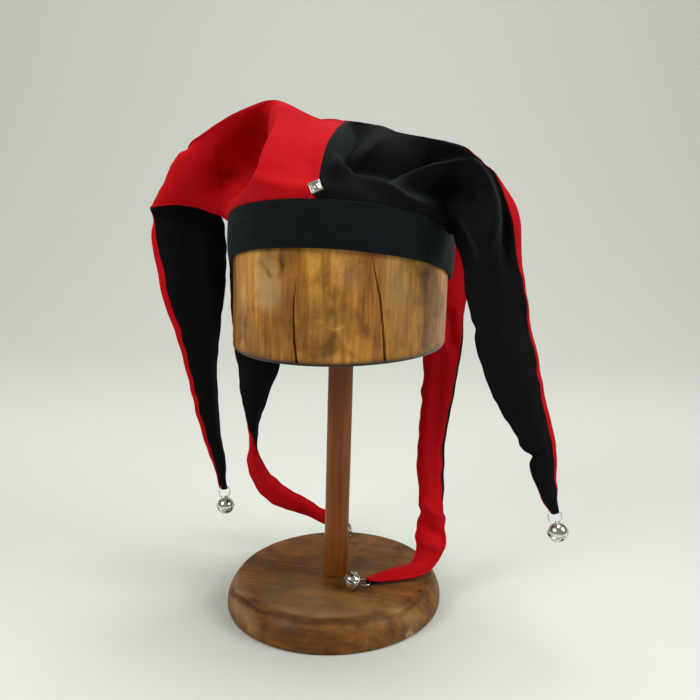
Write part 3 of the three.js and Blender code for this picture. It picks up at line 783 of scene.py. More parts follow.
@dataclass(frozen=True)
class Fold:
    """A ridge or a hollow in the cloth, read from the photograph.

    Attributes:
        path: Points in the photograph's pixels, each with the share of the depth there.
        width: Half width in mm.
        depth: Height over the cloth in mm, below 0 for a hollow.
        push: Millimetres to the right, up and towards the viewer, on top of the depth.
        profile: Its cross-section.
        seams: Share of it that is left at a seam.
        behind: Distance behind the stand's axis in mm past which it counts, if it has a start.
    """

    path: tuple
    width: float
    depth: float = 0.0
    push: tuple = (0.0, 0.0, 0.0)
    profile: Profile = Profile.SOFT
    seams: float = 0.0
    behind: float | None = None

    def share(self, pixels: np.ndarray, scale: np.ndarray) -> np.ndarray:
        """Share of the fold at each place.

        Args:
            pixels: A row of x and y in pixels for each place.
            scale: Millimetres in a pixel at each place.

        Returns:
            A share for each place.
        """
        path = np.array(self.path, dtype=float)
        best = np.full(len(pixels), 1e9)
        strength = np.zeros(len(pixels))
        for start, end in zip(path[:-1], path[1:]):
            way = end[:2] - start[:2]
            along = np.clip(((pixels - start[:2]) @ way) / (way @ way), 0, 1)
            near = start[:2] + along[:, None] * way
            gap = np.hypot(*(pixels - near).T) * scale
            closer = gap < best
            best[closer] = gap[closer]
            strength[closer] = (start[2] + along * (end[2] - start[2]))[closer]
        ratio = best / self.width
        if self.behind is not None:
            past = scale * CAMERA.focal - CAMERA.distance - self.behind
            strength = strength * np.clip(past / 12, 0, 1)
        if self.profile is Profile.CREASE:
            return strength * np.exp(-1.6 * (np.sqrt(ratio**2 + 0.02) - math.sqrt(0.02)))
        return strength * np.exp(-(ratio**2))


CREASE = Profile.CREASE

# Folds that two panels share run along the seam between them, so they move both sides of it alike.
LEFT_BEND = Fold(((192, 150, 0.6), (184, 157, 0.9), (177, 165, 0.6)), 8, push=(-4.5, 3.5, 0), seams=1)
LEFT_HOLLOW = ((266, 108, 0.4), (258, 126, 1.1), (250, 144, 1.3), (242, 160, 1.25), (232, 176, 0.95),
               (228, 190, 0.5), (229, 202, 0.15))
LEFT_SHOULDER = Fold(((181, 154, 0.3), (170, 167, 0.8), (160, 180, 1.4), (155, 193, 1.1), (153, 206, 0.6),
                      (152, 222, 0.3)), 10, push=(3.5, -2, 0), seams=1)
LEFT_INNER_EDGE = Fold(((228, 226, 0.8), (226, 250, 1), (225, 290, 0.6)), 6, push=(2.6, 0, 0), seams=1)
RIGHT_CORNER = Fold(((484, 150, 1), (492, 156, 1)), 10, push=(-4.5, -2, 0), seams=1)
RIGHT_EDGE = Fold(((492, 166, 0.7), (500, 180, 1.2), (508, 200, 1.1), (514, 222, 1), (518, 245, 0.8),
                   (522, 275, 0.6), (530, 330, 0.4)), 7, push=(-2.6, 0, 0), seams=1)
BACK_RIGHT_SEAM = ((464, 297, 0.8), (463, 347, 1), (457, 379, 1), (451, 410, 1), (447, 437, 1), (445, 461, 1),
                   (444, 489, 1), (445, 511, 0.6))
BACK_RIGHT_EDGE = Fold(BACK_RIGHT_SEAM, 4, push=(-3.2, 0, 1), seams=1)
BACK_RIGHT_KINKS = (
    Fold(((417, 512, 1), (423, 516, 1)), 4.5, push=(3, 0, 0), seams=1),
    Fold(((413, 536, 1), (419, 536, 1)), 5, push=(-2.2, 0, 0), seams=1),
    Fold(((449, 520, 1), (443, 524, 1)), 5, push=(0.8, 0, 0), seams=1),
    Fold(((422, 392, 1), (427, 392, 1)), 6, push=(-1.6, 0, 0), seams=1),
)
# Folds that hold the top outline and press down the panels that lie behind it.
ALL_PANELS = (
    Fold(((350, 116, 0.4), (375, 120, 0.8), (410, 127, 0.7), (445, 138, 0.1)), 14, push=(0, -5, 0), seams=1),
    Fold(((375, 119, 0.6), (403, 127, 1), (442, 138, 1)), 12, push=(0, -4.5, 0), seams=1, behind=0),
    Fold(((194, 143, 0.1), (211, 128, 0.25), (245, 107, 0.4), (268, 96, 0.4)), 8,
         push=(2.5, -4, 0), seams=1, behind=-46),
)
# Small steps of the right front tail's outer edge.
NOTCHES = (
    Fold(((529, 456, 1), (536, 453, 0.6)), 3.6, push=(8.5, 1.5, 0), seams=1),
    Fold(((471, 328, 1), (476, 326, 0.6)), 4.5, push=(1.8, 0, 0), seams=1),
    Fold(((521, 443, 1), (526, 441, 0.6)), 3.0, push=(-1.6, -1, 0), seams=1),
    Fold(((498, 402, 1), (503, 399, 0.6)), 4.0, push=(1.0, 0.4, 0), seams=1),
)

# Folds of each panel.
FOLDS = {
    "left_front_red_panel": (
        Fold(((279, 101, 0.6), (280, 115, 1), (279, 132, 1), (276, 149, 1), (272, 166, 1), (267, 183, 0.9),
              (262, 192, 0.5)), 9, 12, push=(-3, 0, 0), profile=CREASE),
        Fold(LEFT_HOLLOW, 13, -23),
        Fold(((222, 150, 0.6), (216, 172, 0.8)), 20, -5),
        Fold(((256, 192, 0.7), (247, 199, 1), (240, 207, 1), (236, 216, 0.7)), 7, 10),
        Fold(((264, 188, 0.5), (285, 187, 1), (312, 187, 0.7)), 5, 3),
        Fold(((264, 197, 0.6), (290, 195, 1), (314, 194, 0.6)), 4, -2.5),
        Fold(((312, 136, 0.6), (304, 158, 1), (298, 172, 0.5)), 12, -6),
        Fold(((290, 112, 0.6), (292, 130, 1), (288, 155, 0.6)), 10, 3),
        LEFT_BEND,
        LEFT_SHOULDER,
        LEFT_INNER_EDGE,
    ),
    "left_front_black_panel": (
        LEFT_BEND,
        LEFT_SHOULDER,
        LEFT_INNER_EDGE,
        Fold(((255, 135, 0.5), (241, 156, 1), (231, 173, 0.8), (226, 186, 0.25)), 14, push=(0, 0, -18)),
        Fold(((190, 225, 0.5), (196, 290, 1), (203, 370, 0.5)), 12, -4),
    ),
    "right_front_black_panel": (
        RIGHT_CORNER,
        RIGHT_EDGE,
        Fold(((347, 126, 0.5), (343, 146, 1), (338, 168, 0.8)), 6, 6, profile=CREASE, seams=0.5),
        Fold(((357, 131, 0.9), (357, 148, 1.2), (366, 159, 1.2), (385, 160, 1.2), (402, 156, 1.1),
              (432, 148, 0.8), (460, 150, 0.4)), 11, -22),
        Fold(((404, 171, 0.5), (430, 166, 1), (455, 161, 0.9), (476, 157, 0.5)), 6, 10, profile=CREASE),
        Fold(((414, 186, 0.6), (440, 189, 1), (464, 193, 0.8)), 9, -11),
        Fold(((347, 168, 0.7), (365, 178, 1), (390, 190, 1), (418, 203, 0.7)), 7, 8, profile=CREASE),
        Fold(((350, 200, 0.3), (385, 208, 1), (420, 218, 1), (445, 227, 0.8)), 7, -6),
        Fold(((482, 166, 0.7), (487, 178, 1), (492, 191, 1), (495, 204, 1), (495, 217, 1), (492, 231, 0.8),
              (487, 250, 0.4)), 7, push=(0, 0, 13), seams=0.5),
        Fold(((494, 176, 0.5), (503, 198, 1), (507, 222, 1), (508, 246, 0.8), (508, 275, 0.1)), 5,
             push=(0, 0, -9), seams=0.2),
        Fold(((452, 232, 0.6), (466, 252, 1), (476, 275, 0.7)), 9, -8),
        Fold(((478, 262, 0.5), (490, 320, 1), (505, 380, 0.5)), 14, 4),
        *NOTCHES,
    ),
    "right_front_red_panel": (
        RIGHT_CORNER,
        RIGHT_EDGE,
        Fold(((494, 166, 1), (504, 182, 1), (512, 199, 0.9), (518, 222, 0.8), (522, 250, 0.9),
              (527, 275, 0.6)), 9, push=(4, 0, 0)),
        *NOTCHES,
    ),
    "right_back_red_panel": (
        BACK_RIGHT_EDGE,
        *BACK_RIGHT_KINKS,
        Fold(((445, 300, 0.4), (440, 350, 1), (434, 420, 1), (432, 480, 0.6)), 9, -3.5),
        Fold(((450, 315, 1), (452, 342, 1)), 5, -4),
        Fold(((420, 500, 0.8), (432, 512, 1), (444, 518, 0.8)), 4, 4.5),
        Fold(((424, 522, 0.8), (434, 532, 1), (445, 538, 0.8)), 4.5, -5),
        Fold(((417, 545, 0.8), (430, 545, 1), (441, 550, 0.8)), 4.5, 4),
        Fold(((410, 562, 1), (424, 574, 1)), 4, 5),
        Fold(((400, 564, 1), (408, 578, 1)), 4, -5),
        Fold(((388, 568, 1), (394, 580, 1)), 4, 4),
    ),
    "right_back_black_panel": (
        BACK_RIGHT_EDGE,
        *BACK_RIGHT_KINKS,
        Fold(BACK_RIGHT_SEAM, 9, push=(9, 0, 2)),
    ),
    "left_back_red_panel": (
        Fold(((250, 452, 0.5), (262, 478, 1), (284, 492, 1), (306, 502, 0.6)), 5, 2.5),
    ),
}


@dataclass
class SewnPanel:
    """One cloth panel, worked from the outer skin of its packed wall.

    Attributes:
        node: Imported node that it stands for.
        finish: Its cloth.
        wall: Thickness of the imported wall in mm.
        thickness: Thickness of the cloth in mm.
        turning: Width of the edge that is turned in along the seams, in mm.
        levels: Subdivision levels.
        pucker: Height of the puckers along the seams in mm.
        pucker_reach: How far the puckers run in from the seams in mm.
        pucker_length: Rough length of a pucker in mm.
        drape: Height of the long soft waves in mm.
        drape_length: Rough length of a wave in mm.
        seam_fade: Width along the seams in which the folds die away, in mm.
        tuck_in: How far the crown's lower edge goes in behind the band, in mm.
        tuck_down: How far it goes down behind the band, in mm.
        overhang: How far the crown swells over the band's edge, in mm.
        clearance: Least gap between the crown and the head block, in mm.
        corner: Turn of a seam in degrees past which its corner stays sharp.
        crown_reach: How far past the band's wall the crown's cloth is still held by it, in mm.
        crown_low: Height over the band's top edge down to which that cloth reaches, in mm.
        block_reach: How far past the band's wall cloth is kept off the block, in mm.
        shoulder: Height over the floor in mm under which the tails hang free and pucker more.
        rest: Height over the floor in mm near which the tails lie still on the base.
        cut: Width, length and area of the flat pattern in metres.
    """

    node: str
    finish: WovenCotton
    wall: float = 1.6
    thickness: float = 1.1
    turning: float = 2.0
    levels: int = 3
    pucker: float = 1.4
    pucker_reach: float = 6.0
    pucker_length: float = 11.0
    drape: float = 1.6
    drape_length: float = 38.0
    seam_fade: float = 6.0
    tuck_in: float = 1.2
    tuck_down: float = 2.0
    overhang: float = 1.8
    clearance: float = 2.2
    corner: float = 35.0
    crown_reach: float = 6.0
    crown_low: float = -9.0
    block_reach: float = 4.0
    shoulder: float = 345.0
    rest: float = 30.0
    cut: tuple = (0.0, 0.0, 0.0)

    def build(self) -> None:
        """Builds the panel."""
        piece = node_copy(self.node, self.node.replace("_panel", "_cloth"))
        self.open_wall(piece)
        self.flat_pattern(piece)
        apply_modifier(
            piece, "SUBSURF", levels=self.levels, render_levels=self.levels,
            boundary_smooth="PRESERVE_CORNERS", uv_smooth="PRESERVE_BOUNDARIES",
        )
        self.fold(piece)
        apply_modifier(
            piece, "SOLIDIFY", thickness=self.thickness * MM, offset=-1.0, use_rim=True, use_even_offset=False
        )
        finish_piece(piece, self.finish, self.node, angle=75)

    def open_wall(self, piece: bpy.types.Object) -> None:
        """Keeps the outer skin of the closed wall, with a narrow edge turned in along its seams.

        Args:
            piece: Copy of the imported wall, changed in place.
        """
        mesh = bmesh.new()
        mesh.from_mesh(piece.data)
        crease = mesh.edges.layers.float.new("crease_edge")
        point = mesh.verts.layers.float.new("crease_vert")
        wall = self.wall * MM
        across = [e for e in mesh.edges if abs(e.calc_length() - wall) < wall * 0.004]
        rims = {f for e in across for f in e.link_faces}
        outer = self.largest_skin(set(mesh.faces) - rims)
        corners = {v for f in outer for v in f.verts}
        twins = {}
        for edge in across:
            a, b = edge.verts
            if (a in corners) != (b in corners):
                own, other = (a, b) if a in corners else (b, a)
                twins[own] = (other.co - own.co).normalized()
        bmesh.ops.delete(mesh, geom=[f for f in mesh.faces if f not in outer], context="FACES")
        edges = [e for e in mesh.edges if e.is_boundary]
        made = bmesh.ops.extrude_edge_only(mesh, edges=edges)["geom"]
        fresh = {v for v in made if isinstance(v, bmesh.types.BMVert)}
        places = {tuple(round(c, 7) for c in v.co): way for v, way in twins.items() if v.is_valid}
        for vert in fresh:
            way = places.get(tuple(round(c, 7) for c in vert.co))
            if way is not None:
                vert.co += way * self.turning * MM
        for edge in edges:
            edge[crease] = 1.0
        line = set(edges)
        for vert in {v for e in edges for v in e.verts}:
            ways = [(e.other_vert(vert).co - vert.co).normalized() for e in vert.link_edges if e in line]
            if len(ways) == 2 and math.degrees(ways[0].angle(ways[1])) < 180 - self.corner:
                vert[point] = 1.0
                for edge in vert.link_edges:
                    if edge.other_vert(vert) in fresh:
                        edge.other_vert(vert)[point] = 1.0
        bmesh.ops.join_triangles(
            mesh, faces=mesh.faces, angle_face_threshold=math.pi, angle_shape_threshold=math.pi
        )
        mesh.normal_update()
        mesh.to_mesh(piece.data)
        mesh.free()

    @staticmethod
    def largest_skin(left: set) -> set:
        """Finds the largest of the skins that faces make up; the outer one is larger than the lining.

        Args:
            left: Faces of all skins, emptied as they are sorted.

        Returns:
            The faces of the largest skin.
        """
        skins = []
        while left:
            skin = set()
            queue = [left.pop()]
            while queue:
                face = queue.pop()
                skin.add(face)
                near = {other for edge in face.edges for other in edge.link_faces if other in left}
                left -= near
                queue.extend(near)
            skins.append(skin)
        return max(skins, key=lambda skin: sum(f.calc_area() for f in skin))

    def flat_pattern(self, piece: bpy.types.Object) -> None:
        """Unfolds the sheet into its flat pattern, in metres, as its UV map.

        Args:
            piece: The open sheet.
        """
        while piece.data.uv_layers:
            piece.data.uv_layers.remove(piece.data.uv_layers[0])
        piece.data.uv_layers.new(name="cloth")
        pick(piece)
        with editing():
            bpy.ops.uv.unwrap(method="ANGLE_BASED", margin=0)
        mesh = piece.data
        uv = np.empty(len(mesh.loops) * 2)
        mesh.uv_layers["cloth"].data.foreach_get("uv", uv)
        uv = uv.reshape(-1, 2)
        solid = sum(p.area for p in mesh.polygons)
        flat = 0.0
        for p in mesh.polygons:
            ring = uv[list(p.loop_indices)]
            ahead = np.roll(ring, -1, axis=0)
            flat += abs(np.sum(ring[:, 0] * ahead[:, 1] - ring[:, 1] * ahead[:, 0])) / 2
        uv *= math.sqrt(solid / flat)
        mesh.uv_layers["cloth"].data.foreach_set("uv", uv.ravel())
        spans = uv.max(axis=0) - uv.min(axis=0)
        self.cut = (round(float(min(spans)), 3), round(float(max(spans)), 3), round(solid, 5))

    def seam_points(self, piece: bpy.types.Object) -> np.ndarray:
        """Finds the sheet's seam line: the fold between the cloth and its turned-in edge.

        Args:
            piece: The subdivided sheet.

        Returns:
            Indices of the vertices on the seam line.
        """
        mesh = bmesh.new()
        mesh.from_mesh(piece.data)
        crease = mesh.edges.layers.float["crease_edge"]
        line = {v.index for e in mesh.edges if e[crease] > 0.5 and not e.is_boundary for v in e.verts}
        mesh.free()
        return np.array(sorted(line))

    def fold(self, piece: bpy.types.Object) -> None:
        """Works the folds, the long soft waves and the puckers along the seams into the sheet.

        Args:
            piece: The subdivided sheet, changed in place.
        """
        points = get_points(piece)
        normals = get_normals(piece)
        seam = self.seam_points(piece)
        tree = KDTree(len(seam))
        for index in seam:
            tree.insert(points[index], int(index))
        tree.balance()
        found = [tree.find(point) for point in points]
        gap = np.array([item[2] for item in found]) / MM
        nearest = points[[item[1] for item in found]]
        inner = 1 - np.exp(-((gap / self.seam_fade) ** 2))
        pixels = CAMERA.picture(points)
        right, up, ahead = (np.array(axis) for axis in CAMERA.axes())
        scale = CAMERA.scale(points)
        moved = np.zeros_like(points)
        for fold in (*ALL_PANELS, *FOLDS.get(self.node, ())):
            share = fold.share(pixels, scale) * (fold.seams + (1 - fold.seams) * inner)
            push = right * fold.push[0] + up * fold.push[1] - ahead * fold.push[2]
            moved += share[:, None] * (normals * fold.depth + push)
        wave = waves(points, self.drape_length, self.drape)
        hanging = np.clip((self.shoulder - nearest[:, 2] / MM) / 40, 0, 1) * 0.8 + 0.2
        ripple = waves(nearest, self.pucker_length, self.pucker) * hanging[:, None]
        close = np.exp(-((gap / self.pucker_reach) ** 2))
        moved += wave + ripple * close[:, None]
        steady = np.clip((points[:, 2] / MM - self.rest) / 12, 0.15, 1)
        moved *= steady[:, None]
        moved += self.tuck(points, moved)
        placed = points + moved * MM
        set_points(piece, self.clear_of_block(placed))

    def clear_of_block(self, placed: np.ndarray) -> np.ndarray:
        """Keeps the crown off the head block under it.

        Args:
            placed: The folded places in metres, changed in place.

        Returns:
            The same places, those too near the block moved out.
        """
        near = np.hypot(placed[:, 0], placed[:, 1]) < BAND_SHAPE.reach(placed) + self.block_reach * MM
        for index in np.flatnonzero(near & (BAND_SHAPE.over_top(placed) > 0)):
            point = Vector(placed[index])
            spot, normal, _, _ = BLOCK_TREE.find_nearest(point)
            if (point - spot).dot(normal) < self.clearance * MM:
                placed[index] = spot + normal * self.clearance * MM
        return placed

    def tuck(self, points: np.ndarray, moved: np.ndarray) -> np.ndarray:
        """Tucks the crown's lower edge into the band and lets the cloth swell just over it.

        Args:
            points: A row for each place, in metres.
            moved: The moves so far in mm.

        Returns:
            A further move in mm for each place.
        """
        over = BAND_SHAPE.over_top(points)
        radial = outward(points)
        inside = np.hypot(points[:, 0], points[:, 1]) < BAND_SHAPE.reach(points) + self.crown_reach * MM
        on_crown = inside & (over > self.crown_low)
        held = np.where(on_crown, np.clip(1 - over / 3, 0, 1), 0)[:, None]
        swell = np.where(on_crown, np.exp(-(((over - 6) / 4.5) ** 2)), 0)[:, None]
        inward = radial * -self.tuck_in - np.array([0, 0, self.tuck_down])
        return held * (inward - moved) + swell * radial * self.overhang


@dataclass(frozen=True)
class Oval:
    """Upright oval about the stand's axis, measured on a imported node.

    Attributes:
        width: Half of its width in metres.
        length: Half of its length in metres.
        turn: Angle of its length from +X, in radians.
        low: Its lowest height in metres.
        high: Its highest height in metres.
    """

    width: float
    length: float
    turn: float
    low: float
    high: float

    @classmethod
    def of(cls, node: str) -> Oval:
        """Measures a node.

        Args:
            node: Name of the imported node.

        Returns:
            Its oval.
        """
        points = node_points(node)
        flat = points[:, :2]
        _, _, axes = np.linalg.svd(flat - flat.mean(axis=0), full_matrices=False)
        spans = [float(np.abs(flat @ axis).max()) for axis in axes]
        turn = math.atan2(axes[0][1], axes[0][0])
        return cls(spans[1], spans[0], turn, float(points[:, 2].min()), float(points[:, 2].max()))


def turned_stack(name: str, oval: Oval, profile: list, sides: int) -> bpy.types.Object:
    """Models a solid of ovals: a filled circle that is drawn up step by step.

    Args:
        name: Name of the piece.
        oval: The widest oval.
        profile: Pairs of inset and height in metres, from the bottom up.
        sides: Sides of the circle.

    Returns:
        The new piece, with its place in its mesh.
    """
    deselect_all()
    bpy.ops.mesh.primitive_circle_add(vertices=sides, radius=1, fill_type="NGON")
    piece = bpy.context.object
    piece.name = name
    inset, height = profile[0]
    size = [oval.length - inset, oval.width - inset]
    with editing():
        bpy.ops.transform.resize(value=(size[0], size[1], 1), center_override=(0, 0, 0))
        bpy.ops.transform.translate(value=(0, 0, height))
        for inset, height in profile[1:]:
            fresh = [oval.length - inset, oval.width - inset]
            lift = height - picked_height(piece)
            bpy.ops.mesh.extrude_region_move(TRANSFORM_OT_translate={"value": (0, 0, lift)})
            ratio = (fresh[0] / size[0], fresh[1] / size[1], 1)
            bpy.ops.transform.resize(value=ratio, center_override=(0, 0, height))
            size = fresh
        bpy.ops.mesh.select_all(action="SELECT")
        bpy.ops.mesh.normals_make_consistent(inside=False)
    piece.data.transform(Matrix.Rotation(oval.turn, 4, "Z"))
    return piece


def picked_height(piece: bpy.types.Object) -> float:
    """Height of the selected face of a piece in edit mode."""
    mesh = bmesh.from_edit_mesh(piece.data)
    return max(v.co.z for v in mesh.verts if v.select)


@dataclass(frozen=True)
class BandShape:
    """Where the band lies: its oval, its height and its tilt.

    Attributes:
        oval: The oval of its outer wall.
        slope: Rise in x and in y.
        foot: Height of its lower edge at the axis in metres.
        height: Its height in metres.
        wall: Thickness of its wall in metres.
    """

    oval: Oval
    slope: tuple
    foot: float
    height: float
    wall: float

    @classmethod
    def of(cls, node: str) -> BandShape:
        """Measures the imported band.

        Args:
            node: Its node.

        Returns:
            The band's shape.
        """
        points = node_points(node)
        table = np.column_stack([points[:, :2], np.ones(len(points))])
        tilt = np.linalg.lstsq(table, points[:, 2], rcond=None)[0]
        over = points[:, 2] - table @ tilt
        oval = Oval.of(node)
        along = np.array([math.cos(oval.turn), math.sin(oval.turn)])
        inner = np.abs(points[:, :2] @ along)
        near = inner[inner > oval.length - 0.006]
        return cls(
            oval, (float(tilt[0]), float(tilt[1])), float(tilt[2] + over.min()),
            float(over.max() - over.min()), float(near.max() - near.min()),
        )

    def over_top(self, points: np.ndarray) -> np.ndarray:
        """Heights of places over the band's top edge.

        Args:
            points: A row for each place, in metres.

        Returns:
            A height in mm for each place.
        """
        top = self.foot + self.height + points[:, 0] * self.slope[0] + points[:, 1] * self.slope[1]
        return (points[:, 2] - top) / MM

    def reach(self, points: np.ndarray) -> np.ndarray:
        """Distance of the band's outer wall from the axis, in the direction of each place.

        Args:
            points: A row for each place, in metres.

        Returns:
            A distance in metres for each place.
        """
        angle = np.arctan2(points[:, 1], points[:, 0]) - self.oval.turn
        return 1 / np.hypot(np.cos(angle) / self.oval.length, np.sin(angle) / self.oval.width)


BAND_SHAPE = BandShape.of("band")


def block_tree() -> BVHTree:
    """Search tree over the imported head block.

    Returns:
        The tree.
    """
    block = node_copy("stand_block", "block_guide")
    points = [vertex.co.copy() for vertex in block.data.vertices]
    tree = BVHTree.FromPolygons(points, [tuple(face.vertices) for face in block.data.polygons])
    bpy.data.objects.remove(block)
    return tree


BLOCK_TREE = block_tree()

# Wrinkles of the band: at its left end, and two long ones at the front.
BAND_WRINKLES = (
    Fold(((249, 214, 0.7), (262, 208, 1), (278, 204, 0.4)), 3, 1.2),
    Fold(((246, 223, 0.6), (262, 215, 1), (284, 210, 0.4)), 3, -1.1),
    Fold(((243, 236, 0.6), (256, 226, 1), (278, 219, 0.4)), 4, 1.2),
    Fold(((242, 248, 0.5), (262, 238, 1), (288, 232, 0.3)), 4, -0.9),
    Fold(((330, 206, 0.4), (370, 210, 1), (405, 220, 0.5)), 4, -0.8),
    Fold(((340, 240, 0.4), (380, 244, 1), (420, 256, 0.5)), 4, 0.8),
)


@dataclass
class Band:
    """Stiffened cloth band, folded along its lower edge and sewn to the crown at the top.

    Attributes:
        sides: Steps round the head.
        rows: Steps up its wall.
        roll: Radius of its rolled edges in mm.
        swell: How far it stands out between its edges in mm.
        wrinkle: Height of its wrinkles in mm.
    """

    sides: int = 360
    rows: int = 18
    roll: float = 1.1
    swell: float = 0.8
    wrinkle: float = 0.7

    def profile(self) -> list:
        """Cross-section of the wall.

        Returns:
            Pairs of distance out of the outer wall and height over the foot, in mm, from the
            inside of the lower edge round the outside to the inside of the upper edge.
        """
        height = BAND_SHAPE.height / MM
        wall = BAND_SHAPE.wall / MM
        pairs = [(-wall, self.roll)]
        for step in range(4):
            angle = math.radians(-90 + 30 * step)
            pairs.append((self.roll * (math.cos(angle) - 1), self.roll * (1 + math.sin(angle))))
        for row in range(1, self.rows):
            share = row / self.rows
            lift = self.roll + (height - 2 * self.roll) * share
            pairs.append((self.swell * math.sin(math.pi * share) ** 0.7, lift))
        for step in range(4):
            angle = math.radians(30 * step)
            pairs.append((self.roll * (math.cos(angle) - 1), height + self.roll * (math.sin(angle) - 1)))
        pairs.append((-wall, height - self.roll))
        return pairs

    def build(self) -> None:
        """Builds the band."""
        oval = BAND_SHAPE.oval
        pairs = self.profile()
        deselect_all()
        bpy.ops.mesh.primitive_circle_add(vertices=self.sides, radius=1)
        piece = bpy.context.object
        piece.name = "head_band"
        with editing():
            for _ in pairs[1:]:
                bpy.ops.mesh.extrude_edges_move(TRANSFORM_OT_translate={"value": (0, 0, 1)})
        points = get_points(piece)
        ring = np.rint(points[:, 2]).astype(int)
        shape = np.array(pairs) * MM
        out = shape[ring]
        placed = np.column_stack([
            points[:, 0] * (oval.length + out[:, 0]),
            points[:, 1] * (oval.width + out[:, 0]),
            np.zeros(len(points)),
        ])
        spin = np.array(Matrix.Rotation(oval.turn, 3, "Z"))
        placed = placed @ spin.T
        lift = out[:, 1] + BAND_SHAPE.foot
        placed[:, 2] = lift + placed[:, 0] * BAND_SHAPE.slope[0] + placed[:, 1] * BAND_SHAPE.slope[1]
        self.lay_pattern(piece, ring, points, pairs)
        share = np.sin(np.clip(out[:, 1] / BAND_SHAPE.height, 0, 1) * math.pi)
        moves = waves(placed, 30.0, self.wrinkle) + waves(placed, 13.0, self.wrinkle / 2)
        moves[:, 2] *= 0.5
        placed += moves * (0.35 + 0.65 * share)[:, None] * MM
        radial = outward(placed)
        seen = np.sum(radial * (placed - np.array(CAMERA.place())), axis=1) < 0
        scale = CAMERA.scale(placed)
        pixels = CAMERA.picture(placed)
        for wrinkle in BAND_WRINKLES:
            lift = wrinkle.share(pixels, scale) * wrinkle.depth * seen
            placed += radial * lift[:, None] * MM
        set_points(piece, placed)
        pick(piece)
        with editing("DESELECT"):
            bpy.ops.mesh.select_non_manifold()
            bpy.ops.mesh.bridge_edge_loops()
            bpy.ops.mesh.select_all(action="SELECT")
            bpy.ops.mesh.normals_make_consistent(inside=False)
        finish_piece(piece, BAND_COTTON, "band", angle=60)

    def lay_pattern(self, piece: bpy.types.Object, ring: np.ndarray, points: np.ndarray, pairs: list) -> None:
        """Lays the flat pattern on the band: round it and up its wall, in metres.

        Args:
            piece: The band, still upright and round.
            ring: Step of the cross-section of each vertex.
            points: Vertices on the unit circle.
            pairs: The cross-section in mm.
        """
        steps = [0.0]
        for before, after in zip(pairs[:-1], pairs[1:]):
            steps.append(steps[-1] + math.dist(before, after) * MM)
        girth = math.pi * (BAND_SHAPE.oval.length + BAND_SHAPE.oval.width)
        turn = np.arctan2(points[:, 1], points[:, 0]) / (2 * math.pi) % 1
        layer = piece.data.uv_layers.get("cloth") or piece.data.uv_layers.new(name="cloth")
        for face in piece.data.polygons:
            shares = [float(turn[v]) for v in face.vertices]
            wraps = max(shares) - min(shares) > 0.5
            for loop, vertex, share in zip(face.loop_indices, face.vertices, shares):
                if wraps and share < 0.5:
                    share += 1
                layer.data[loop].uv = (share * girth, steps[int(ring[vertex])])


@dataclass(frozen=True)
class Mark:
    """One mark on the wood, read from the photograph; marks are stains, pale places and cracks, and also
    painted highlights and painted shadows.

    Attributes:
        path: Points in the photograph's pixels, each with the share of the mark there.
        width: Half width in mm.
        tone: Above 0 it is paler than the wood, below 0 darker.
    """

    path: tuple
    width: float
    tone: float


def paint_marks(piece: bpy.types.Object, marks: tuple, rim: float = 0.0) -> None:
    """Stores the marks on a piece's vertices, as the attribute that its wood reads.

    Args:
        piece: The wooden piece.
        marks: Its marks.
        rim: Height of the painted shade along its lower edge in mm.
    """
    points = get_points(piece)
    normals = get_normals(piece)
    view = points - np.array(CAMERA.place())
    seen = np.clip(-np.sum(normals * view, axis=1) / np.linalg.norm(view, axis=1) * 4, 0, 1)
    pixels = CAMERA.picture(points)
    scale = CAMERA.scale(points)
    tone = np.zeros(len(points))
    for mark in marks:
        tone += mark.tone * seen * Fold(mark.path, mark.width).share(pixels, scale)
    # Painted shade: the wood is darker towards its lower edge, which faces down.
    if rim:
        lift = (points[:, 2] - points[:, 2].min()) / MM
        tone -= 1.6 * np.exp(-((lift / rim) ** 2))
    layer = piece.data.attributes.new("tone", "FLOAT", "POINT")
    layer.data.foreach_set("value", tone)


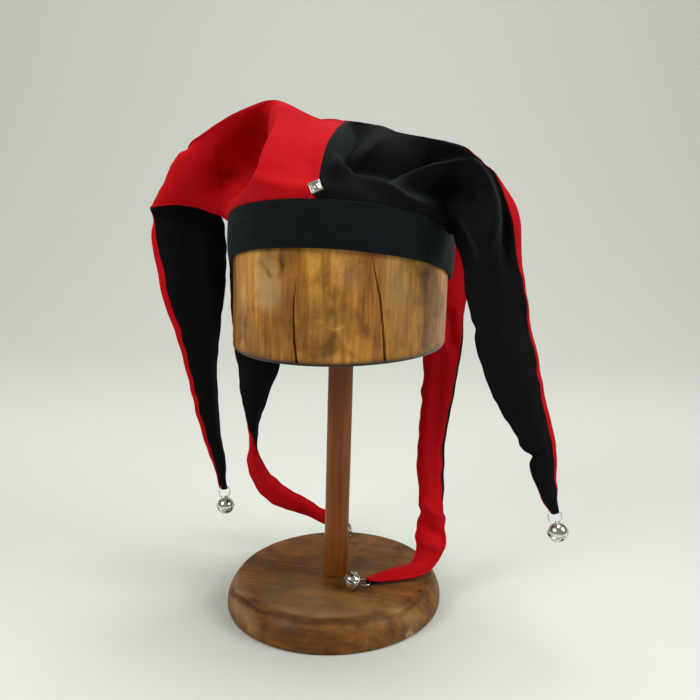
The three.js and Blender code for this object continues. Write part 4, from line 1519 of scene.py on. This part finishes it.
@dataclass
class HatStand:
    """Head block, post and base.

    Attributes:
        sides: Steps round the block and the base.
        cracks: Cracks of the block: pixel paths with shares, width and depth in mm.
        holes: A nail hole and a chip of the base: pixel, radius and depth in mm.
        sway: How far a crack strays from its path, in pixels.
        carving: Length and height of the block's hand-carved hollows in mm.
        facets: Length and height of its finer tool marks in mm.
        bow: Length and height of the post's unevenness in mm.
        wear: Length and height of the base's worn places in mm.
        base_foot: Round lower edge of the base: insets and heights in mm.
        base_edge: Its round upper edge: insets and drops from the top in mm.
    """

    sides: int = 320
    cracks: tuple = (
        (((297, 276, 0.2), (294, 296, 0.6), (293.5, 318, 0.9), (294, 340, 1), (296.5, 363, 1.3)), 1.8, 6.0),
        (((372, 256, 0.3), (376, 276, 0.7), (380.5, 300, 1), (383.5, 330, 1.1), (385, 361, 1.4)), 1.9, 7.0),
        (((246.5, 312, 0.3), (246, 335, 0.7), (246, 353, 0.8)), 0.6, 2.5),
        (((270, 338, 0.4), (270, 358, 0.9)), 0.7, 2.5),
    )
    holes: tuple = (((420, 591), 1.3, 6.0), ((410, 636), 1.7, 0.9))
    sway: float = 0.5
    carving: tuple = (24.0, 0.55)
    facets: tuple = (9.0, 0.22)
    bow: tuple = (22.0, 0.18)
    wear: tuple = (26.0, 0.5)
    base_foot: tuple = ((2.6, 0.0), (1.0, 0.5), (0.3, 2.0), (0.0, 4.5))
    base_edge: tuple = ((0.2, 14.0), (0.9, 11.2), (2.0, 8.4), (3.5, 5.6), (5.2, 3.2), (6.8, 1.4), (7.7, 0.6),
                        (8.2, 0.0))

    def build(self) -> None:
        """Builds the three wooden pieces."""
        self.block()
        self.post()
        self.base()

    def block(self) -> None:
        """Builds the head block with its worn edge, its dome and its cracks."""
        oval = Oval.of("stand_block")
        points = node_points("stand_block")
        rows = sorted({round(float(z), 5) for z in points[:, 2]})
        spans = []
        for row in rows:
            level = points[np.abs(points[:, 2] - row) < 2e-5]
            away = np.hypot(level[:, 0], level[:, 1])
            spans.append(float(away.max()))
        chamfer = rows[1] - rows[0]
        profile = [(chamfer * 1.3, rows[0]), (chamfer * 0.45, rows[0] + chamfer * 0.12)]
        profile += [(chamfer * 0.12, rows[0] + chamfer * 0.55), (0, rows[1] + chamfer * 0.2)]
        side = rows[2]
        for step in range(1, 61):
            profile.append((0, rows[1] + chamfer * 0.2 + (side - rows[1] - chamfer * 0.2) * step / 60))
        for row, span in zip(rows[3:], spans[3:]):
            profile.append((oval.length - span, row))
        piece = turned_stack("head_block", oval, profile, self.sides)
        points = get_points(piece)
        carve = waves(points * np.array([1, 1, 0.5]), *self.carving)[:, :1]
        facets = waves(points * np.array([1, 1, 0.25]), *self.facets)[:, :1]
        side_share = np.clip((points[:, 2] - rows[0]) / 0.006, 0, 1)[:, None]
        set_points(piece, points + outward(points) * (carve + facets - 0.35) * side_share * MM)
        for path, width, depth in self.cracks:
            self.cut_crack(piece, path, width, depth)
        # The rim is painted shade along the block's lower edge.
        paint_marks(piece, BLOCK_MARKS, rim=3.4)
        finish_piece(piece, BLOCK_WOOD, "stand_block", angle=35)

    def cut_crack(self, piece: bpy.types.Object, path: tuple, width: float, depth: float) -> None:
        """Cuts a crack: a wedge that follows the line in the photograph.

        Args:
            piece: The block.
            path: Pixels of the photograph, each with the share of the width and depth.
            width: Width at the surface in mm.
            depth: Depth in mm.
        """
        steps = 6
        rows = []
        for start, end in zip(path[:-1], path[1:]):
            for step in range(steps):
                rows.append([start[i] + (end[i] - start[i]) * step / steps for i in range(3)])
        rows.append(list(path[-1]))
        places = []
        for number, (across, down, share) in enumerate(rows):
            sway = noise.noise(Vector((number * 0.7, width * 7, depth))) * self.sway
            hit, place, normal, _ = piece.ray_cast(CAMERA.place(), CAMERA.ray(across + sway, down))
            if hit:
                level = Vector((normal.x, normal.y, 0)).normalized()
                side = Vector((0, 0, 1)).cross(level) * width * share * MM * 0.6
                out = level * 1.5 * MM
                places.append((place + out + side, place + out - side, place - level * depth * share * MM))
        deselect_all()
        bpy.ops.mesh.primitive_circle_add(vertices=3, radius=1, fill_type="NGON")
        wedge = bpy.context.object
        with editing():
            for _ in places[1:]:
                bpy.ops.mesh.extrude_region_move(TRANSFORM_OT_translate={"value": (0, 0, 1)})
        for vertex in wedge.data.vertices:
            corner = round(math.degrees(math.atan2(vertex.co.y, vertex.co.x)) / 120 + 3) % 3
            vertex.co = places[round(vertex.co.z)][corner]
        with editing():
            bpy.ops.mesh.normals_make_consistent(inside=False)
        cut(piece, wedge)

    def post(self) -> None:
        """Builds the post: a dowel with slightly eased ends."""
        oval = Oval.of("stand_post")
        gap = 0.3 * MM
        low, high = oval.low - gap, oval.high + gap
        ease = 0.8 * MM
        profile = [(ease, low), (0, low + ease)]
        profile += [(0, low + ease + (high - low - 2 * ease) * step / 20) for step in range(1, 21)]
        profile.append((ease, high))
        radius = (oval.length + oval.width) / 2
        piece = turned_stack("turned_post", Oval(radius, radius, 0, low, high), profile, 64)
        points = get_points(piece)
        bow = waves(points * np.array([1, 1, 0.3]), *self.bow)[:, :1]
        set_points(piece, points + outward(points) * (bow - 0.1) * MM)
        paint_marks(piece, ())
        finish_piece(piece, POST_WOOD, "stand_post", angle=35)

    def base(self) -> None:
        """Builds the base: an oval board with a full round edge, a nail hole and a chip."""
        oval = Oval.of("stand_base")
        height = oval.high - oval.low
        profile = [(inset * MM, oval.low + rise * MM) for inset, rise in self.base_foot]
        profile += [(inset * MM, height - drop * MM) for inset, drop in self.base_edge]
        inner = self.base_edge[-1][0]
        profile += [((inner + step * 10) * MM, height) for step in range(1, 8)]
        piece = turned_stack("oval_base", oval, profile, self.sides)
        points = get_points(piece)
        rise = np.clip(points[:, 2] / (5 * MM), 0, 1)[:, None]
        wear = waves(points, *self.wear)[:, :1] - 0.4
        edge = np.clip((np.hypot(points[:, 0], points[:, 1]) / MM - 70) / 10, 0, 1)[:, None]
        set_points(piece, points + outward(points) * wear * rise * edge * MM)
        for pixel, radius, depth in self.holes:
            self.bore(piece, pixel, radius, depth)
        paint_marks(piece, BASE_MARKS)
        finish_piece(piece, BASE_WOOD, "stand_base", angle=35)

    def bore(self, piece: bpy.types.Object, pixel: tuple, radius: float, depth: float) -> None:
        """Sinks a small hole where a pixel of the photograph meets the wood.

        Args:
            piece: The wooden piece.
            pixel: Place in the photograph.
            radius: Radius in mm.
            depth: Depth in mm.
        """
        _, place, normal, _ = piece.ray_cast(CAMERA.place(), CAMERA.ray(*pixel))
        deselect_all()
        bpy.ops.mesh.primitive_cone_add(
            vertices=14, radius1=radius * MM * 1.15, radius2=radius * MM * 0.7, depth=2 * depth * MM,
            location=place, rotation=(-normal).to_track_quat("Z", "Y").to_euler(),
        )
        cut(piece, bpy.context.object)


# Marks of the block: stains, pale places and knot lines, and two painted highlights, the reflections of the
# left and right soft boxes.
BLOCK_MARKS = (
    # Painted highlight: the reflection of the left soft box.
    Mark(((262, 262, 0.5), (268, 275, 1), (266, 300, 0.8)), 9, 0.75),
    Mark(((236, 262, 0.6), (238, 300, 1), (237, 330, 0.5)), 6, 0.35),
    Mark(((318, 305, 0.8), (333, 318, 1), (330, 338, 0.7)), 13, -0.6),
    Mark(((250, 320, 0.6), (262, 345, 0.7), (290, 352, 0.5)), 12, -0.35),
    # Painted highlight: the reflection of the right soft box.
    Mark(((395, 265, 0.8), (400, 290, 1), (398, 330, 0.4)), 10, 0.5),
    Mark(((425, 275, 1), (428, 310, 1), (427, 345, 0.8)), 5, -0.8),
    Mark(((437, 280, 1), (438, 310, 1), (436, 340, 0.8)), 3.5, -0.6),
    Mark(((340, 262, 1), (352, 285, 0.8)), 9, 0.25),
    Mark(((279, 254, 0.6), (282, 266, 1), (279, 276, 0.4)), 1.6, -1.0),
    Mark(((261, 262, 0.5), (270, 276, 1)), 1.7, -0.7),
    Mark(((327, 327, 0.4), (336, 330, 1), (344, 326, 0.4)), 1.2, 0.9),
)

BASE_MARKS = (
    Mark(((262, 545, 0.6), (290, 540, 1), (318, 548, 0.5)), 14, -0.4),
    Mark(((280, 600, 0.6), (320, 610, 1), (360, 600, 0.5)), 22, 0.25),
    Mark(((275, 630, 0.7), (300, 640, 1), (330, 645, 0.6)), 12, -0.5),
    Mark(((400, 612, 0.8), (412, 620, 1)), 7, 0.3),
    Mark(((232, 575, 0.6), (236, 605, 1), (260, 635, 0.6)), 6, 0.3),
    # Painted shadow of the post's foot and the bell on the board.
    Mark(((330, 578, 0.8), (345, 580, 1), (372, 588, 0.7), (400, 588, 0.5)), 7, -0.3),
    Mark(((228, 580, 0.4), (233, 594, 1), (262, 612, 1), (304, 623, 1), (345, 624, 1), (400, 615, 1),
          (432, 589, 0.6)), 1.5, -0.8),
    Mark(((236, 590, 0.6), (264, 607, 1), (305, 618, 1), (345, 619, 1), (398, 610, 0.6)), 1.8, 0.28),
    Mark(((420, 591, 1), (421, 592, 1)), 3, -1.2),
    Mark(((410, 636, 1), (411, 636, 1)), 2.2, 2.4),
)


@dataclass(frozen=True)
class Stance:
    """Place and axes of a small metal part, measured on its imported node.

    Attributes:
        middle: Its centre in metres.
        axes: Its three axes, from the longest spread to the shortest.
        points: Its vertices.
    """

    middle: Vector
    axes: tuple
    points: np.ndarray

    @classmethod
    def of(cls, node: str) -> Stance:
        """Measures a node.

        Args:
            node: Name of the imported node.

        Returns:
            Its stance.
        """
        points = node_points(node)
        middle = points.mean(axis=0)
        _, _, axes = np.linalg.svd(points - middle, full_matrices=False)
        return cls(Vector(middle), tuple(Vector(axis) for axis in axes), points)


@dataclass
class Metalwork:
    """Bells, jump rings and the stud.

    Attributes:
        shell: Thickness of a bell's wall in mm.
        slit: Width of its slits in mm.
        hole: Radius of the round holes at the slits' ends in mm.
        slit_length: Length of a slit as a share of the ball's radius.
        slit_top: How far under the ball's middle the slits end, as a share of its radius.
        bead: Radius of the bead at its waist in mm.
        stud_turn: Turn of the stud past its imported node, in degrees.
        stud_lift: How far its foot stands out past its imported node, for the cloth under it, in mm.
        stud_extra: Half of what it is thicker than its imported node, in mm.
        stud_steps: Its rim, the wall down to its field, the field and its pyramid: insets and rises in mm.
        tails: Names of the tails.
    """

    shell: float = 0.6
    slit: float = 1.6
    hole: float = 1.55
    slit_length: float = 1.82
    slit_top: float = 0.24
    bead: float = 0.32
    stud_turn: float = 37.0
    stud_lift: float = 0.2
    stud_extra: float = 0.8
    stud_steps: tuple = ((1.0, 0), (0.15, -1.5), (0.7, 0), (1.6, 1.5))
    tails: tuple = ("left_front", "right_front", "right_back", "left_back")

    def build(self) -> None:
        """Builds every metal piece."""
        self.stud()
        model = self.bell_model("left_front_bell")
        for tail in self.tails:
            self.ring(tail)
            self.place_bell(model, tail)
        bpy.data.objects.remove(model)

    @staticmethod
    def ball(node: str) -> tuple[Vector, float, Vector, Vector]:
        """Measures a packed bell: a ball with a wire loop at its pole.

        Args:
            node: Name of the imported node.

        Returns:
            The ball's centre, its radius, the way to the loop and the loop's own axis.
        """
        points = node_points(node)
        table = np.column_stack([2 * points, np.ones(len(points))])
        keep = np.ones(len(points), dtype=bool)
        for _ in range(12):
            fit = np.linalg.lstsq(table[keep], np.sum(points[keep] ** 2, axis=1), rcond=None)[0]
            centre = fit[:3]
            away = np.linalg.norm(points - centre, axis=1)
            radius = np.median(away[keep])
            keep = np.abs(away - radius) < radius * 0.12
        radius = float(away[keep].max())
        loop = points[away > radius * 1.04]
        pole = loop.mean(axis=0) - centre
        _, _, axes = np.linalg.svd(loop - loop.mean(axis=0), full_matrices=False)
        return Vector(centre), radius, Vector(pole).normalized(), Vector(axes[2])

    def bell_model(self, node: str) -> bpy.types.Object:
        """Models one bell at the origin, its loop upwards along +Z and its loop's axis along +X.

        Args:
            node: A packed bell, for its size.

        Returns:
            The bell.
        """
        radius = self.ball(node)[1]
        deselect_all()
        bpy.ops.mesh.primitive_uv_sphere_add(segments=48, ring_count=24, radius=radius)
        bell = bpy.context.object
        apply_modifier(bell, "SOLIDIFY", thickness=self.shell * MM, offset=-1.0)
        depth = radius * 1.2
        top = radius * self.slit_top
        for turn in (0, 90):
            deselect_all()
            bpy.ops.mesh.primitive_cube_add(size=1, location=(0, 0, -top - depth / 2))
            slit = bpy.context.object
            slit.scale = (radius * self.slit_length, self.slit * MM, depth)
            slit.rotation_euler = (0, 0, math.radians(turn))
            bpy.ops.object.transform_apply(location=True, rotation=True, scale=True)
            cut(bell, slit)
            deselect_all()
            way = Vector((math.cos(math.radians(turn)), math.sin(math.radians(turn)), 0))
            bpy.ops.mesh.primitive_cylinder_add(
                vertices=20, radius=self.hole * MM, depth=radius * 2.4, location=(0, 0, -top),
                rotation=way.to_track_quat("Z", "Y").to_euler(),
            )
            cut(bell, bpy.context.object)
        apply_modifier(bell, "BEVEL", width=0.09 * MM, segments=2, limit_method="ANGLE", angle_limit=0.7)
        deselect_all()
        bpy.ops.mesh.primitive_torus_add(
            major_radius=radius + 0.02 * MM, minor_radius=self.bead * MM, major_segments=64,
            minor_segments=10, location=(0, 0, radius * 0.06),
        )
        bead = bpy.context.object
        bpy.ops.mesh.primitive_torus_add(
            major_radius=1.4 * MM, minor_radius=0.42 * MM, major_segments=32, minor_segments=10,
            location=(0, 0, radius + 1.0 * MM), rotation=(0, math.radians(90), 0),
        )
        loop = bpy.context.object
        pick(bell)
        bead.select_set(True)
        loop.select_set(True)
        bpy.ops.object.join()
        return bell

    def place_bell(self, model: bpy.types.Object, tail: str) -> None:
        """Copies the bell to its tail.

        Args:
            model: The bell at the origin.
            tail: Name of the tail.
        """
        centre, _, pole, axis = self.ball(f"{tail}_bell")
        axis = (axis - pole * axis.dot(pole)).normalized()
        bell = add_object(f"{tail}_jingle", model.data.copy())
        turned = Matrix((axis, pole.cross(axis), pole)).transposed().to_4x4()
        bell.data.transform(Matrix.Translation(centre) @ turned)
        finish_piece(bell, NICKEL, f"{tail}_bell", angle=35)

    def ring(self, tail: str) -> None:
        """Builds a jump ring of round wire.

        Args:
            tail: Name of its tail.
        """
        stance = Stance.of(f"{tail}_ring")
        away = np.linalg.norm(stance.points - np.array(stance.middle), axis=1)
        wire = (away.max() - away.min()) / 2
        deselect_all()
        bpy.ops.mesh.primitive_torus_add(
            major_radius=float(away.max() - wire), minor_radius=float(wire), major_segments=64,
            minor_segments=14,
        )
        ring = bpy.context.object
        ring.name = f"{tail}_jump_ring"
        turned = Matrix((stance.axes[0], stance.axes[2].cross(stance.axes[0]), stance.axes[2]))
        ring.data.transform(Matrix.Translation(stance.middle) @ turned.transposed().to_4x4())
        finish_piece(ring, NICKEL, f"{tail}_ring", angle=60)

    def stud(self) -> None:
        """Builds the square stud: a rim round a sunk field with a low pyramid."""
        stance = Stance.of("stud")
        out = stance.axes[2]
        if out.dot(stance.middle * Vector((1, 1, 0))) < 0:
            out = -out
        local = stance.points - np.array(stance.middle)
        rise = local @ np.array(out)
        flat = local - np.outer(rise, np.array(out))
        corner = Vector(flat[np.argmax(np.linalg.norm(flat, axis=1))])
        half = corner.length / math.sqrt(2)
        low, high = float(rise.min()), float(rise.max())
        deselect_all()
        bpy.ops.mesh.primitive_cube_add(size=2)
        stud = bpy.context.object
        stud.name = "square_stud"
        deep = (high - low) / 2 + self.stud_extra * MM
        stud.data.transform(Matrix.Diagonal((half, half, deep, 1)))
        with editing("DESELECT"):
            mesh = bmesh.from_edit_mesh(stud.data)
            for face in mesh.faces:
                face.select_set(face.normal.z > 0.9)
            bmesh.update_edit_mesh(stud.data)
            for thickness, depth in self.stud_steps:
                bpy.ops.mesh.inset(thickness=thickness * MM, depth=depth * MM)
        apply_modifier(stud, "BEVEL", width=0.18 * MM, segments=3, limit_method="ANGLE", angle_limit=0.5)
        side = corner.normalized()
        turned = Matrix((side, out.cross(side), out)).transposed().to_4x4()
        foot = stance.middle + out * (low + deep + self.stud_lift * MM)
        quarter = Matrix.Rotation(math.radians(45 + self.stud_turn), 4, "Z")
        stud.data.transform(Matrix.Translation(foot) @ turned @ quarter)
        finish_piece(stud, NICKEL, "stud", angle=35)


def main() -> None:
    """Builds the studio, the stand, the hat and its metal, in that order."""
    logging.basicConfig(level=logging.INFO, format="%(message)s")
    Studio().build()
    HatStand().build()
    Band().build()
    for node in sorted(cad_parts):
        if node.endswith("_panel"):
            SewnPanel(node, RED_COTTON if "_red_" in node else BLACK_COTTON).build()
    Metalwork().build()


if __name__ == "__main__":
    main()
